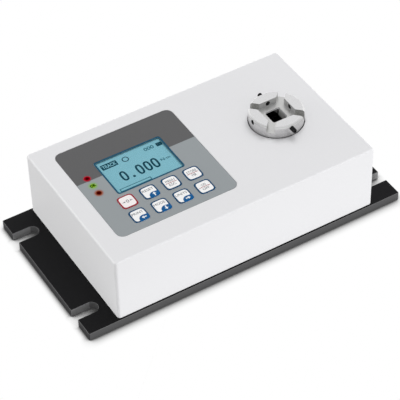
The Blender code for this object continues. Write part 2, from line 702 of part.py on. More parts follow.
def build_display_board(green, dome_metal, steel, panel):
    """The board behind the panel, the sheet of eight switch domes on it and its four screws."""
    length = PANEL_LENGTH - 2 * DISPLAY_BOARD_MARGIN
    depth = PANEL_DEPTH - 2 * DISPLAY_BOARD_MARGIN
    bottom = DISPLAY_BOARD_TOP - BOARD_THICKNESS
    bm = bmesh.new()
    prism(bm, rounded_rectangle(length, depth, BOARD_CORNER_RADIUS, (PANEL_LENGTH / 2, PANEL_DEPTH / 2)),
          bottom, DISPLAY_BOARD_TOP)
    board = solid("display_board", bm, green, panel)
    holes = bmesh.new()
    for centre in display_post_places():
        prism(holes, circle(SMALL_SCREW_RADIUS + GAP, SMALL_STEPS, centre),
              bottom - CUT_PAST, DISPLAY_BOARD_TOP + CUT_PAST)
    combine(board, cutter("display_board_holes", holes, panel))
    head_top = bottom - GAP
    profile = screw_profile(SMALL_SCREW_RADIUS, head_top, DISPLAY_BOARD_TOP + DISPLAY_PILOT_DEPTH,
                            SMALL_HEAD_RADIUS, head_top - SMALL_HEAD_HEIGHT)
    turned_set("display_board_screw", profile, SMALL_STEPS, steel, panel, display_post_places())

    foot = DISPLAY_BOARD_TOP + GAP
    span = (3 * KEY_COLUMN_PITCH + 2 * SWITCH_DOME_RADIUS + SWITCH_SHEET_MARGIN,
            KEY_ROW_PITCH + 2 * SWITCH_DOME_RADIUS + SWITCH_SHEET_MARGIN)
    middle = (KEY_FIRST_CENTRE[0] + 1.5 * KEY_COLUMN_PITCH, KEY_FIRST_CENTRE[1] + KEY_ROW_PITCH / 2)
    sheet = bmesh.new()
    prism(sheet, rounded_rectangle(*span, BOARD_CORNER_RADIUS, middle), foot, foot + SWITCH_SHEET_THICKNESS)
    switches = solid("switch_sheet", sheet, dome_metal, panel)
    domes = bmesh.new()
    base = foot + SWITCH_SHEET_THICKNESS
    for _, centre in key_places():
        revolve(domes, [(0, foot + GAP), (SWITCH_DOME_RADIUS, foot + GAP), (SWITCH_DOME_RADIUS, base),
                        (SWITCH_DOME_RADIUS / 2, base + SWITCH_DOME_HEIGHT), (0, base + SWITCH_DOME_HEIGHT)],
                SMALL_STEPS, centre)
    combine(switches, cutter("switch_domes", domes, panel), "UNION")


# Main board and ports

def build_main_board(green, nylon):
    """The main board on four snap-in supports, which pass through it and end in a small head."""
    bm = bmesh.new()
    centre = on_main_board((MAIN_BOARD_LENGTH / 2, MAIN_BOARD_DEPTH / 2))
    prism(bm, rounded_rectangle(MAIN_BOARD_LENGTH, MAIN_BOARD_DEPTH, BOARD_CORNER_RADIUS, centre),
          MAIN_BOARD_BOTTOM, MAIN_BOARD_TOP)
    board = solid("main_board", bm, green)
    holes = bmesh.new()
    for post in support_places():
        prism(holes, circle(SMALL_SCREW_RADIUS + GAP, SMALL_STEPS, post),
              MAIN_BOARD_BOTTOM - CUT_PAST, MAIN_BOARD_TOP + CUT_PAST)
    combine(board, cutter("main_board_holes", holes))
    stud = FLOOR_LEVEL - SUPPORT_STUD_LENGTH
    top = FLOOR_LEVEL + SUPPORT_HEIGHT
    over = MAIN_BOARD_TOP + GAP
    end = over + SUPPORT_HEAD_HEIGHT
    profile = [(0, stud), (SMALL_SCREW_RADIUS, stud), (SMALL_SCREW_RADIUS, FLOOR_LEVEL),
               (SUPPORT_RADIUS, FLOOR_LEVEL), (SUPPORT_RADIUS, top), (SMALL_SCREW_RADIUS, top),
               (SMALL_SCREW_RADIUS, over), (SUPPORT_HEAD_RADIUS, over), (SMALL_SCREW_RADIUS, end), (0, end)]
    turned_set("board_support", profile, SMALL_STEPS, nylon, None, support_places())


def build_board_pieces(black, white):
    """The buzzer on the main board and a ribbon header on each board."""
    foot = MAIN_BOARD_TOP + GAP
    top, hole_floor = foot + BUZZER_HEIGHT, foot + BUZZER_HEIGHT / 2
    sounder = bmesh.new()
    revolve(sounder, [(0, foot), (BUZZER_RADIUS, foot), (BUZZER_RADIUS, top), (BUZZER_SOUND_HOLE, top),
                      (BUZZER_SOUND_HOLE, hole_floor), (0, hole_floor)], ROUND_STEPS)
    solid("buzzer", sounder, black, None, (*on_main_board(BUZZER_CENTRE), 0))
    x, y = on_main_board(RIBBON_FOOT)
    under_display = TOP_LEVEL + DISPLAY_BOARD_TOP - BOARD_THICKNESS - GAP - HEADER_HEIGHT
    for name, centre, bottom in (("main_header", (x, y), foot),
                                 ("display_header", (x, y + RIBBON_LEAN), under_display)):
        header = bmesh.new()
        prism(header, rectangle(RIBBON_WIDTH, HEADER_DEPTH, centre), bottom, bottom + HEADER_HEIGHT)
        solid(name, header, white)


def build_ribbon(grey):
    """The flat cable between the two boards, an extruded strip with a double bend."""
    x, y = on_main_board(RIBBON_FOOT)
    low = MAIN_BOARD_TOP + GAP + HEADER_HEIGHT + GAP
    high = TOP_LEVEL + DISPLAY_BOARD_TOP - BOARD_THICKNESS - GAP - HEADER_HEIGHT - GAP
    near, far = [], []
    for i in range(RIBBON_STEPS + 1):
        t = i / RIBBON_STEPS
        middle = y + RIBBON_LEAN * t * t * (3 - 2 * t)
        z = low + (high - low) * t
        near.append((middle - RIBBON_THICKNESS / 2, z))
        far.append((middle + RIBBON_THICKNESS / 2, z))
    bm = bmesh.new()
    prism(bm, near + far[::-1], x - RIBBON_WIDTH / 2, x + RIBBON_WIDTH / 2, "X")
    solid("display_ribbon", bm, grey)


def build_port(name, centre_x, size, mouth, core, mouth_depth, surface):
    """One port on the board's back edge: a block with a mouth round a core."""
    length, height, reach = size
    face = BACK_FACE - GAP
    x = on_main_board((centre_x, 0))[0]
    z = MAIN_BOARD_TOP + GAP + height / 2
    block = bmesh.new()
    prism(block, rectangle(length, height, (x, z)), face - reach, face, "Y")
    port = solid(name, block, surface)
    opening = bmesh.new()
    start, end = face - mouth_depth, face + CUT_PAST
    loops = [[(x + a, y, z + b) for a, b in outline]
             for outline, y in ((core, start), (core, end), (mouth, end), (mouth, start))]
    loft(opening, loops, ring=True)
    combine(port, cutter(name + "_mouth", opening))


# Battery

def build_battery(sleeve, steel, black):
    """The sleeved row of cells, the strap over it, the strap's screws and the lead to the board."""
    x, y = battery_centre()
    foot = FLOOR_LEVEL
    radius = CELL_DIAMETER / 2
    straight = CELL_DIAMETER * (CELL_COUNT - 1) / 2
    middle = foot + radius
    outline = (arc((x + straight, middle), radius, -90, 90, SMALL_STEPS // 2)
               + arc((x - straight, middle), radius, 90, 270, SMALL_STEPS // 2))
    pack = bmesh.new()
    prism(pack, outline, y - CELL_LENGTH / 2, y + CELL_LENGTH / 2, "Y")
    solid("battery_pack", pack, sleeve)

    inside = straight + radius + GAP
    outside = inside + STRAP_THICKNESS
    under = foot + CELL_DIAMETER + GAP
    over = under + STRAP_THICKNESS
    half = [(inside, foot), (outside + STRAP_FOOT, foot), (outside + STRAP_FOOT, foot + STRAP_THICKNESS),
            (outside, foot + STRAP_THICKNESS), (outside, over)]
    section = ([(x + a, b) for a, b in half] + [(x - a, b) for a, b in half[::-1]]
               + [(x - inside, under), (x + inside, under)])
    strap = bmesh.new()
    prism(strap, section, y - STRAP_WIDTH / 2, y + STRAP_WIDTH / 2, "Y")
    bracket = solid("battery_strap", strap, steel)
    holes = bmesh.new()
    for centre in strap_screw_places():
        prism(holes, circle(SMALL_SCREW_RADIUS + GAP, SMALL_STEPS, centre),
              foot - CUT_PAST, foot + 2 * STRAP_THICKNESS)
    combine(bracket, cutter("battery_strap_holes", holes))
    head = foot + STRAP_THICKNESS + GAP
    profile = screw_profile(SMALL_SCREW_RADIUS, head, PLATE_THICKNESS - BLIND_HOLE_DEPTH + GAP,
                            SMALL_HEAD_RADIUS, head + SMALL_HEAD_HEIGHT)
    turned_set("strap_screw", profile, SMALL_STEPS, steel, None, strap_screw_places())

    end_x, end_y = on_main_board(BATTERY_LEAD_FOOT)
    start_y = y + CELL_LENGTH / 2 + GAP
    bend = 4 * LEAD_RADIUS
    cable("battery_lead", [(end_x, start_y, middle), (end_x, start_y + bend, middle + LEAD_RADIUS),
                           (end_x, end_y - bend, MAIN_BOARD_TOP + 1.5 * bend),
                           (end_x, end_y, MAIN_BOARD_TOP + bend), (end_x, end_y, MAIN_BOARD_TOP + GAP)],
          LEAD_RADIUS, black)


# Torque sensor and adapter ring

def build_torque_sensor(steel, sleeve, axis):
    """The turned sensor: a bolted foot, a hollow neck that twists, and a head for the ring."""
    foot = FLOOR_LEVEL + SENSOR_BASE_THICKNESS
    neck_top = SENSOR_TOP - SENSOR_HEAD_THICKNESS
    fillet_x = SENSOR_NECK_RADIUS + SENSOR_FILLET
    low = arc((fillet_x, foot + SENSOR_FILLET), SENSOR_FILLET, 270, 180, FILLET_STEPS)
    high = arc((fillet_x, neck_top - SENSOR_FILLET), SENSOR_FILLET, 180, 90, FILLET_STEPS)
    profile = ([(SENSOR_BORE_RADIUS, FLOOR_LEVEL), (SENSOR_BASE_RADIUS, FLOOR_LEVEL),
                (SENSOR_BASE_RADIUS, foot)] + low + high
               + [(SENSOR_HEAD_RADIUS, neck_top), (SENSOR_HEAD_RADIUS, SENSOR_TOP),
                  (SENSOR_BORE_RADIUS, SENSOR_TOP)])
    bm = bmesh.new()
    revolve(bm, profile + profile[:1], FINE_STEPS // 2)
    sensor = solid("torque_sensor", bm, steel, axis)
    holes = bmesh.new()
    for centre in circle_places(SENSOR_SCREW_CIRCLE, 45):
        prism(holes, circle(SENSOR_SCREW_RADIUS + GAP, SMALL_STEPS, centre),
              FLOOR_LEVEL - CUT_PAST, SCREW_SINK + SENSOR_SCREW_LENGTH + GAP)
    for centre in circle_places(ADAPTER_SCREW_CIRCLE, 0):
        prism(holes, circle(ADAPTER_SCREW_RADIUS + GAP, SMALL_STEPS, centre),
              neck_top - CUT_PAST, SENSOR_TOP + CUT_PAST)
    combine(sensor, cutter("torque_sensor_holes", holes, axis))

    inner = SENSOR_NECK_RADIUS + GAP
    outer = inner + SLEEVE_THICKNESS
    under, over = SLEEVE_LEVEL, SLEEVE_LEVEL + SLEEVE_HEIGHT
    wrap = bmesh.new()
    loft(wrap, [level(circle(radius, FINE_STEPS // 2), z)
                for radius, z in ((inner, under), (outer, under), (outer, over), (inner, over))], ring=True)
    solid("gauge_sleeve", wrap, sleeve, axis)


def build_adapter_ring(polished, axis):
    """The milled ring: a square pocket, four slots between its jaws, a square drive and its holes."""
    bm = bmesh.new()
    revolve(bm, [(0, RING_BOTTOM), (RING_RADIUS, RING_BOTTOM), (RING_RADIUS, RING_TOP - RING_CHAMFER),
                 (RING_RADIUS - RING_CHAMFER, RING_TOP), (0, RING_TOP)], FINE_STEPS)
    ring = solid("adapter_ring", bm, polished, axis)
    cross = bmesh.new()
    prism(cross, cross_outline(), POCKET_FLOOR, RING_TOP + CUT_PAST)
    combine(ring, cutter("ring_cross", cross, axis))
    drive = bmesh.new()
    wide = DRIVE_WIDTH + 2 * DRIVE_CHAMFER + 2 * GAP
    loft(drive, [level(rectangle(DRIVE_WIDTH, DRIVE_WIDTH), RING_BOTTOM - CUT_PAST),
                 level(rectangle(DRIVE_WIDTH, DRIVE_WIDTH), POCKET_FLOOR - DRIVE_CHAMFER),
                 level(rectangle(wide, wide), POCKET_FLOOR + GAP)])
    combine(ring, cutter("ring_drive", drive, axis))
    reach = RING_RADIUS + CUT_PAST
    for along in "XY":
        drill = bmesh.new()
        prism(drill, circle(CLAMP_SCREW_RADIUS + GAP, ROUND_STEPS, (0, CLAMP_LEVEL)), -reach, reach, along)
        combine(ring, cutter("ring_drill_" + along.lower(), drill, axis))
    blind = bmesh.new()
    for centre in circle_places(ADAPTER_SCREW_CIRCLE, 0):
        prism(blind, circle(ADAPTER_SCREW_RADIUS + GAP, SMALL_STEPS, centre),
              RING_BOTTOM - CUT_PAST, adapter_screw_tip() + GAP)
    combine(ring, cutter("ring_blind_holes", blind, axis))


def adapter_screw_tip():
    """How high the screws reach that hold the ring to the sensor's head."""
    return SENSOR_TOP - SENSOR_HEAD_THICKNESS - GAP + ADAPTER_SCREW_LENGTH


def build_clamp_screw(name, turn, length, proud, black, axis):
    """One socket screw that lies in the ring's wall and points at the torque axis."""
    outer = RING_RADIUS + proud
    radius, chamfer = CLAMP_SCREW_RADIUS, CLAMP_END_CHAMFER
    bm = bmesh.new()
    revolve(bm, [(0, -length), (radius - chamfer, -length), (radius, chamfer - length), (radius, -chamfer),
                 (radius - chamfer, 0), (CLAMP_SOCKET_RADIUS, 0), (CLAMP_SOCKET_RADIUS, -CLAMP_SOCKET_DEPTH),
                 (0, -CLAMP_SOCKET_DEPTH)], SMALL_STEPS + 2)
    a = math.radians(turn)
    screw = solid(name, bm, black, axis, (outer * math.cos(a), outer * math.sin(a), CLAMP_LEVEL))
    screw.rotation_euler = (0, math.pi / 2, a)


def build_structure_screws(steel, axis):
    """The flush screws under the plate and the cap screws under the sensor's head."""
    turned_set("housing_screw", countersunk_profile(HOUSING_SCREW_RADIUS, HOUSING_SCREW_LENGTH, SCREW_SINK),
               SMALL_STEPS, steel, None, housing_posts())
    turned_set("sensor_screw", countersunk_profile(SENSOR_SCREW_RADIUS, SENSOR_SCREW_LENGTH, SCREW_SINK),
               SMALL_STEPS, steel, axis, circle_places(SENSOR_SCREW_CIRCLE, 45))
    head_top = SENSOR_TOP - SENSOR_HEAD_THICKNESS - GAP
    turned_set("adapter_screw", screw_profile(ADAPTER_SCREW_RADIUS, head_top, adapter_screw_tip(),
                                              ADAPTER_HEAD_RADIUS, head_top - ADAPTER_HEAD_HEIGHT),
               SMALL_STEPS, steel, axis, circle_places(ADAPTER_SCREW_CIRCLE, 0))


def build_sensor_cable(grey):
    """The sensor's cable, from the sleeve round the neck to the main board."""
    end_x, end_y = on_main_board(SENSOR_CABLE_FOOT)
    start_x = AXIS_X - SENSOR_NECK_RADIUS - GAP - SLEEVE_THICKNESS - CABLE_END_GAP
    bend = 4 * SENSOR_CABLE_RADIUS
    middle = ((start_x + end_x) / 2, end_y / 2, SENSOR_CABLE_LEVEL)
    cable("sensor_cable", [(start_x, 0, SENSOR_CABLE_LEVEL), (start_x - bend, 0, SENSOR_CABLE_LEVEL), middle,
                           (end_x + bend, end_y, MAIN_BOARD_TOP + 1.4 * bend),
                           (end_x, end_y, MAIN_BOARD_TOP + bend), (end_x, end_y, MAIN_BOARD_TOP + GAP)],
          SENSOR_CABLE_RADIUS, grey)


def main():
    """Builds every piece of the tester."""
    for obj in list(bpy.data.objects):
        bpy.data.objects.remove(obj)
    white = finish("white powder coat", (0.76, 0.76, 0.78), 0.45)
    black = finish("black powder coat", (0.012, 0.012, 0.013), 0.5)
    grey = finish("printed polyester", (0.27, 0.29, 0.31), 0.4)
    clear = finish("clear acrylic", (0.85, 0.93, 0.95), 0.1, alpha=0.35)
    screen = finish("liquid crystal glass", (0.24, 0.52, 0.61), 0.2)
    key_white = finish("white key plastic", (0.88, 0.88, 0.88), 0.4)
    red_lens = finish("red lamp lens", (0.5, 0.01, 0.02), 0.2)
    green_lens = finish("green lamp lens", (0.2, 0.5, 0.03), 0.2)
    board = finish("green circuit board", (0.02, 0.16, 0.06), 0.5)
    dark = finish("black moulded plastic", (0.02, 0.02, 0.02), 0.5)
    pale = finish("natural nylon", (0.7, 0.68, 0.6), 0.5)
    steel = finish("zinc plated steel", (0.55, 0.56, 0.57), 0.35, 1.0)
    polished = finish("polished stainless steel", (0.65, 0.65, 0.66), 0.18, 1.0)
    turned = finish("turned alloy steel", (0.4, 0.4, 0.42), 0.35, 1.0)
    black_oxide = finish("black oxide steel", (0.03, 0.03, 0.03), 0.4, 0.6)
    sleeve = finish("blue shrink sleeve", (0.03, 0.12, 0.4), 0.4)
    dome_metal = finish("stainless dome sheet", (0.6, 0.6, 0.6), 0.3, 1.0)

    panel_corner = (LEFT_FACE + PANEL_LEFT_MARGIN, FRONT_FACE + PANEL_FRONT_MARGIN, TOP_LEVEL)
    panel = place("panel_corner", None, None, panel_corner)
    axis = place("torque_axis", None, None, (AXIS_X, 0, 0))

    build_base_plate(black)
    build_housing(white, panel, axis)
    build_panel_face(grey, clear, panel)
    build_display(screen, steel, panel)
    for name, centre in key_places():
        build_key(name, centre, key_white, panel)
    for name, centre in lamp_places():
        build_lamp(name, centre, green_lens if name == "led_ok" else red_lens, panel)
    build_display_board(board, dome_metal, steel, panel)
    build_main_board(board, pale)
    build_board_pieces(dark, pale)
    build_ribbon(grey)
    build_port("usb_port", USB_CENTRE, (USB_LENGTH, USB_HEIGHT, USB_REACH), rectangle(*USB_MOUTH),
               rectangle(*USB_TONGUE), USB_MOUTH_DEPTH, steel)
    build_port("power_jack", JACK_CENTRE, (JACK_LENGTH, JACK_HEIGHT, JACK_REACH),
               circle(JACK_MOUTH_RADIUS, ROUND_STEPS), circle(JACK_PIN_RADIUS, ROUND_STEPS),
               JACK_MOUTH_DEPTH, dark)
    build_battery(sleeve, steel, dark)
    build_torque_sensor(turned, dark, axis)
    build_adapter_ring(polished, axis)
    for name, turn, length, proud in CLAMP_SCREWS:
        build_clamp_screw(name, turn, length, proud, black_oxide, axis)
    build_structure_screws(steel, axis)
    build_sensor_cable(dark)


main()
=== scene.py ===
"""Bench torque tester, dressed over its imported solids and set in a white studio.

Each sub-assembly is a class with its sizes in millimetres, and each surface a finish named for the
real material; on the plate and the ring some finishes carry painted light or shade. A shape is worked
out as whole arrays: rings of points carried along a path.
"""

import json
import logging
import math
from collections.abc import Callable, Sequence
from dataclasses import dataclass, field, replace
from enum import Enum
from functools import cache, partial

import bmesh
import bpy
import numpy as np
from mathutils import Matrix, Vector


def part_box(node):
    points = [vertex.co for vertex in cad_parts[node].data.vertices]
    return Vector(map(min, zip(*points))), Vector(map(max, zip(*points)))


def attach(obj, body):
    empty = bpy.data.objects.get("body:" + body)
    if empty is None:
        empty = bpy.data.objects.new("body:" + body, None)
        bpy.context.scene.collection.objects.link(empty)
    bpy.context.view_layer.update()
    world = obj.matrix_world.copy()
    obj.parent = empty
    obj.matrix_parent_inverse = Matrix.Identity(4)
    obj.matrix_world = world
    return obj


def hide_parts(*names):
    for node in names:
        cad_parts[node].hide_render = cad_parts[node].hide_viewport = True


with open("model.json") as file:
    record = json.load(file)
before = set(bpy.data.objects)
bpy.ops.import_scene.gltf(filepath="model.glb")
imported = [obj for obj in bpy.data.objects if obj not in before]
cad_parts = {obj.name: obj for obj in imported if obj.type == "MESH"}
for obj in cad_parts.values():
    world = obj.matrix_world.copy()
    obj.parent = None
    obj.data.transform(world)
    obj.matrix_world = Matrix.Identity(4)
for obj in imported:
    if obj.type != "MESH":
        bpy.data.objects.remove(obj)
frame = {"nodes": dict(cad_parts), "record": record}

log = logging.getLogger("torque_tester")

MM = 0.001
CREASE = math.radians(35)
TESTER = "tester"
WHITE = (1.0, 1.0, 1.0, 1.0)
Node, Tree, Socket, Piece = bpy.types.Node, bpy.types.NodeTree, bpy.types.NodeSocket, bpy.types.Object


# Shapes

class Ends(Enum):
    """How the first and the last ring of a loft are closed."""

    CAPPED = "capped"
    JOINED = "joined"


@dataclass(frozen=True)
class Shape:
    """A surface before it becomes a mesh: points in millimetres, quads, and flat many-sided faces."""

    points: np.ndarray
    quads: np.ndarray = field(default_factory=lambda: np.empty((0, 4), int))
    flats: tuple[np.ndarray, ...] = ()

    def moved(self, x: float = 0.0, y: float = 0.0, z: float = 0.0) -> "Shape":
        """The same shape shifted by x, y and z."""
        return Shape(self.points + np.array((x, y, z)), self.quads, self.flats)

    def turned(self, matrix: Matrix) -> "Shape":
        """The same shape turned by a 3 by 3 matrix."""
        return Shape(self.points @ np.array(matrix).T, self.quads, self.flats)


def joined(shapes: Sequence[Shape]) -> Shape:
    """Several shapes as one, each one's face numbers raised by the points before it.

    Args:
        shapes: The shapes to put together.

    Returns:
        One shape with all the points and faces.
    """
    starts = np.cumsum([0, *(len(shape.points) for shape in shapes[:-1])])
    flats = tuple(flat + start for shape, start in zip(shapes, starts) for flat in shape.flats)
    quads = np.concatenate([shape.quads + start for shape, start in zip(shapes, starts)])
    return Shape(np.concatenate([shape.points for shape in shapes]), quads, flats)


def arc(centre: tuple[float, float], radius: float, start: float, end: float, steps: int) -> np.ndarray:
    """Points on a circle: the centre plus the radius times the cosine and sine of an even run of angles.

    Args:
        centre: The circle's centre.
        radius: Its radius.
        start: First angle in degrees.
        end: Last angle in degrees.
        steps: Number of stretches between the two.

    Returns:
        An array of steps + 1 points.
    """
    angles = np.radians(np.linspace(start, end, steps + 1))
    return np.array(centre) + radius * np.stack((np.cos(angles), np.sin(angles)), axis=1)


def circle(radius: float, steps: int = 48) -> np.ndarray:
    """A full circle round the origin."""
    return arc((0, 0), radius, 0, 360, steps)[:-1]


def rounded_rectangle(length: float, depth: float, radius: float, steps: int = 8) -> np.ndarray:
    """A rectangle round the origin whose corners are quarter circles.

    Args:
        length: Size along X.
        depth: Size along Y.
        radius: Corner radius.
        steps: Stretches in each corner.

    Returns:
        The outline's points, against the clock.
    """
    x, y = length / 2 - radius, depth / 2 - radius
    corners = zip(((x, y), (-x, y), (-x, -y), (x, -y)), range(0, 360, 90))
    return np.concatenate([arc(corner, radius, turn, turn + 90, steps) for corner, turn in corners])


def cushion(length: float, depth: float, scale: float = 1.0, exponent: float = 5.0,
            steps: int = 96) -> np.ndarray:
    """A superellipse: the cosine and sine of the angle, each raised to two over the exponent, sign kept.

    Args:
        length: Full size along X.
        depth: Full size along Y.
        scale: Shrinks both sizes alike.
        exponent: Two is an ellipse, and more is squarer.
        steps: Number of points.

    Returns:
        The outline's points, against the clock.
    """
    angles = 2 * np.pi * (np.arange(steps) + 0.5) / steps
    wave = np.stack((np.cos(angles), np.sin(angles)), axis=1)
    return np.sign(wave) * np.abs(wave) ** (2 / exponent) * np.array((length, depth)) * scale / 2


def at_level(outline: np.ndarray, level: float) -> np.ndarray:
    """A flat outline raised to a height."""
    return np.column_stack((outline, np.full(len(outline), level)))


def lofted(rings: Sequence[np.ndarray], ends: Ends = Ends.CAPPED) -> Shape:
    """The surface P(u, v), where u runs round a ring of points and v from ring to ring, in straight steps.

    Args:
        rings: Rings of points, all with the same number of points.
        ends: Whether the outer rings get flat caps, or the last ring joins the first.

    Returns:
        A closed shape.
    """
    stack = np.stack(rings)
    index = np.arange(stack.shape[0] * stack.shape[1]).reshape(stack.shape[:2])
    low, high = (index, np.roll(index, -1, axis=0)) if ends is Ends.JOINED else (index[:-1], index[1:])
    quads = np.stack((low, np.roll(low, -1, axis=1), np.roll(high, -1, axis=1), high), axis=-1).reshape(-1, 4)
    caps = (index[0][::-1], index[-1]) if ends is Ends.CAPPED else ()
    return Shape(stack.reshape(-1, 3), quads, caps)


def slab(outline: np.ndarray, low: float, high: float) -> Shape:
    """A flat outline carried straight up from low to high."""
    return lofted((at_level(outline, low), at_level(outline, high)))


def band(outer: np.ndarray, inner: np.ndarray, low: float, high: float) -> Shape:
    """The flat strip between two outlines, from low to high."""
    loops = ((inner, low), (outer, low), (outer, high), (inner, high))
    return lofted([at_level(outline, level) for outline, level in loops], Ends.JOINED)


def turned_profile(profile: Sequence[tuple[float, float]], steps: int) -> Shape:
    """A profile of radius and height carried round the Z axis."""
    return lofted([at_level(circle(radius, steps), level) for radius, level in profile])


def linked(name: str, data: bpy.types.ID) -> Piece:
    """A new object for some data, put in the scene.

    Args:
        name: The object's name.
        data: Its mesh, words, lamp or camera.

    Returns:
        The object, at the origin.
    """
    thing = bpy.data.objects.new(name, data)
    bpy.context.scene.collection.objects.link(thing)
    return thing


def rows_of(items: bpy.types.bpy_prop_collection, name: str) -> np.ndarray:
    """A three-part property of all of a mesh's points or faces, one row each.

    Args:
        items: The mesh's points or faces.
        name: The property, such as co, center or normal.

    Returns:
        An array with three columns.
    """
    values = np.empty(len(items) * 3)
    items.foreach_get(name, values)
    return values.reshape(-1, 3)


def lettering(words: str, size: tuple[float, float], low: float, thickness: float,
              weight: float = 0.0) -> Shape:
    """Words in the built-in typeface, centred on the origin and stretched to a size.

    Args:
        words: One line of generic words or numbers.
        size: Full width of the line and height of its capitals.
        low: Level of its underside.
        thickness: How thick the letters are.
        weight: How far each stroke is widened, as a part of the typeface's own size.

    Returns:
        The letters as a closed shape.
    """
    curve = bpy.data.curves.new("words", "FONT")
    curve.body, curve.extrude, curve.offset, curve.resolution_u = words, 0.5, weight, 4
    holder = linked("words", curve)
    mesh = bpy.data.meshes.new_from_object(holder.evaluated_get(bpy.context.evaluated_depsgraph_get()))
    bpy.data.objects.remove(holder)
    bpy.data.curves.remove(curve)
    points = rows_of(mesh.vertices, "co")
    flats = tuple(np.array(face.vertices) for face in mesh.polygons)
    bpy.data.meshes.remove(mesh)
    middle = (points.min(axis=0) + points.max(axis=0)) / 2
    points = (points - middle) / np.ptp(points, axis=0) * np.array((*size, thickness))
    return Shape(points + np.array((0, 0, low + thickness / 2)), flats=flats)


# Finishes

def linear(code: str) -> tuple[float, float, float, float]:
    """An sRGB hex code as linear red, green, blue and full alpha.

    Args:
        code: A hash and six digits.

    Returns:
        The four channels.
    """
    parts = np.array([int(code[i:i + 2], 16) for i in (1, 3, 5)]) / 255
    red, green, blue = np.where(parts <= 0.04045, parts / 12.92, ((parts + 0.055) / 1.055) ** 2.4)
    return (float(red), float(green), float(blue), 1.0)


def metres(*sizes: float) -> tuple[float, ...]:
    """Millimetres as metres."""
    return tuple(size * MM for size in sizes)


def wire(node: Node, inputs: dict | Sequence) -> None:
    """Sets a node's inputs, or links them.

    Args:
        node: The node.
        inputs: Socket names or numbers with what goes in, or what goes into the first sockets in order: a
            value, an output, or a node whose first output in use is meant.
    """
    for name, value in inputs.items() if isinstance(inputs, dict) else enumerate(inputs):
        if isinstance(value, Node):
            value = next(socket for socket in value.outputs if socket.enabled)
        if isinstance(value, Socket):
            node.id_data.links.new(value, node.inputs[name])
        else:
            node.inputs[name].default_value = value


def add_node(tree: Tree, kind: str, inputs: dict | Sequence = (), **settings: object) -> Node:
    """Adds a shader node with its settings and its inputs.

    Args:
        tree: The node tree it goes in.
        kind: The node's type name after ShaderNode.
        inputs: What wire takes.
        settings: The node's own properties.

    Returns:
        The new node.
    """
    node = tree.nodes.new(f"ShaderNode{kind}")
    for name, value in settings.items():
        setattr(node, name, value)
    wire(node, inputs)
    return node


@dataclass(frozen=True)
class Finish:
    """A plain surface with a fine grain in its height and its gloss.

    The grain is a noise whose patches are grain_mm wide. It moves the surface by grain_depth_mm,
    the roughness by roughness_spread and the colour by colour_spread.
    """

    name: str
    slot: str
    colour: str
    roughness: float = 0.5
    metallic: float = 0.0
    ior: float = 1.5
    specular: float = 0.5
    grain_mm: float = 0.8
    grain_depth_mm: float = 0.004
    roughness_spread: float = 0.06
    colour_spread: float = 0.03
    grain_span: tuple[float, float] = (0.3, 0.7)
    grain_detail: float = 3.0
    grain_falloff: float = 0.55
    least_roughness: float = 0.02

    def shader(self, tree: Tree) -> Node:
        """The principled shader with its constant values set.

        Args:
            tree: The material's tree.

        Returns:
            The principled shader.
        """
        principled = tree.nodes["Principled BSDF"]
        wire(principled, {"Metallic": self.metallic, "Specular IOR Level": self.specular})
        if not self.metallic:
            wire(principled, {"IOR": self.ior})
        return principled

    def place(self, tree: Tree) -> Socket:
        """The point on the object, in metres."""
        return add_node(tree, "TexCoord").outputs["Object"]

    def base(self, tree: Tree, place: Socket) -> Node | tuple[float, ...]:
        """The colour under the grain, or the node of its pattern."""
        return linear(self.colour)

    def dress(self, tree: Tree) -> None:
        """Links the grain into the colour, the roughness and the normal.

        Args:
            tree: The material's tree.
        """
        principled = self.shader(tree)
        place = self.place(tree)
        noise = add_node(tree, "TexNoise", {"Vector": place, "Scale": 1 / (self.grain_mm * MM),
                                            "Detail": self.grain_detail, "Roughness": self.grain_falloff})
        smoothest = max(self.least_roughness, self.roughness - self.roughness_spread)
        roughest = self.roughness + self.roughness_spread
        gloss = add_node(tree, "MapRange", (noise, *self.grain_span, smoothest, roughest))
        shade = add_node(tree, "MapRange", (noise, *self.grain_span, 1 - self.colour_spread, 1.0))
        colour = add_node(tree, "Mix", {"Factor": 1.0, "A": self.base(tree, place), "B": shade},
                          data_type="RGBA", blend_type="MULTIPLY")
        bump = add_node(tree, "Bump", {"Height": noise, "Strength": 1.0,
                                       "Distance": self.grain_depth_mm * MM})
        wire(principled, {"Base Color": colour, "Roughness": gloss, "Normal": bump})


@cache
def material_of(finish: Finish) -> bpy.types.Material:
    """The one material of a finish, made the first time that it is asked for.

    Args:
        finish: What the material has to look like.

    Returns:
        The material.
    """
    material = bpy.data.materials.new(finish.name)
    material.use_nodes = True
    finish.dress(material.node_tree)
    return material


@dataclass(frozen=True)
class TwoToneFilm(Finish):
    """A printed film whose back part, beyond the line at border_mm along Y, has the second colour."""

    second: str = "#000000"
    border_mm: float = 0.0

    def base(self, tree: Tree, place: Socket) -> Node:
        """A hard step between the two inks at the border.

        Args:
            tree: The material's tree.
            place: The point on the object.

        Returns:
            The node whose colour it is.
        """
        y = add_node(tree, "SeparateXYZ", (place,)).outputs["Y"]
        beyond = add_node(tree, "Math", (y, self.border_mm * MM), operation="GREATER_THAN")
        return add_node(tree, "Mix", {"Factor": beyond, "A": linear(self.colour), "B": linear(self.second)},
                        data_type="RGBA")


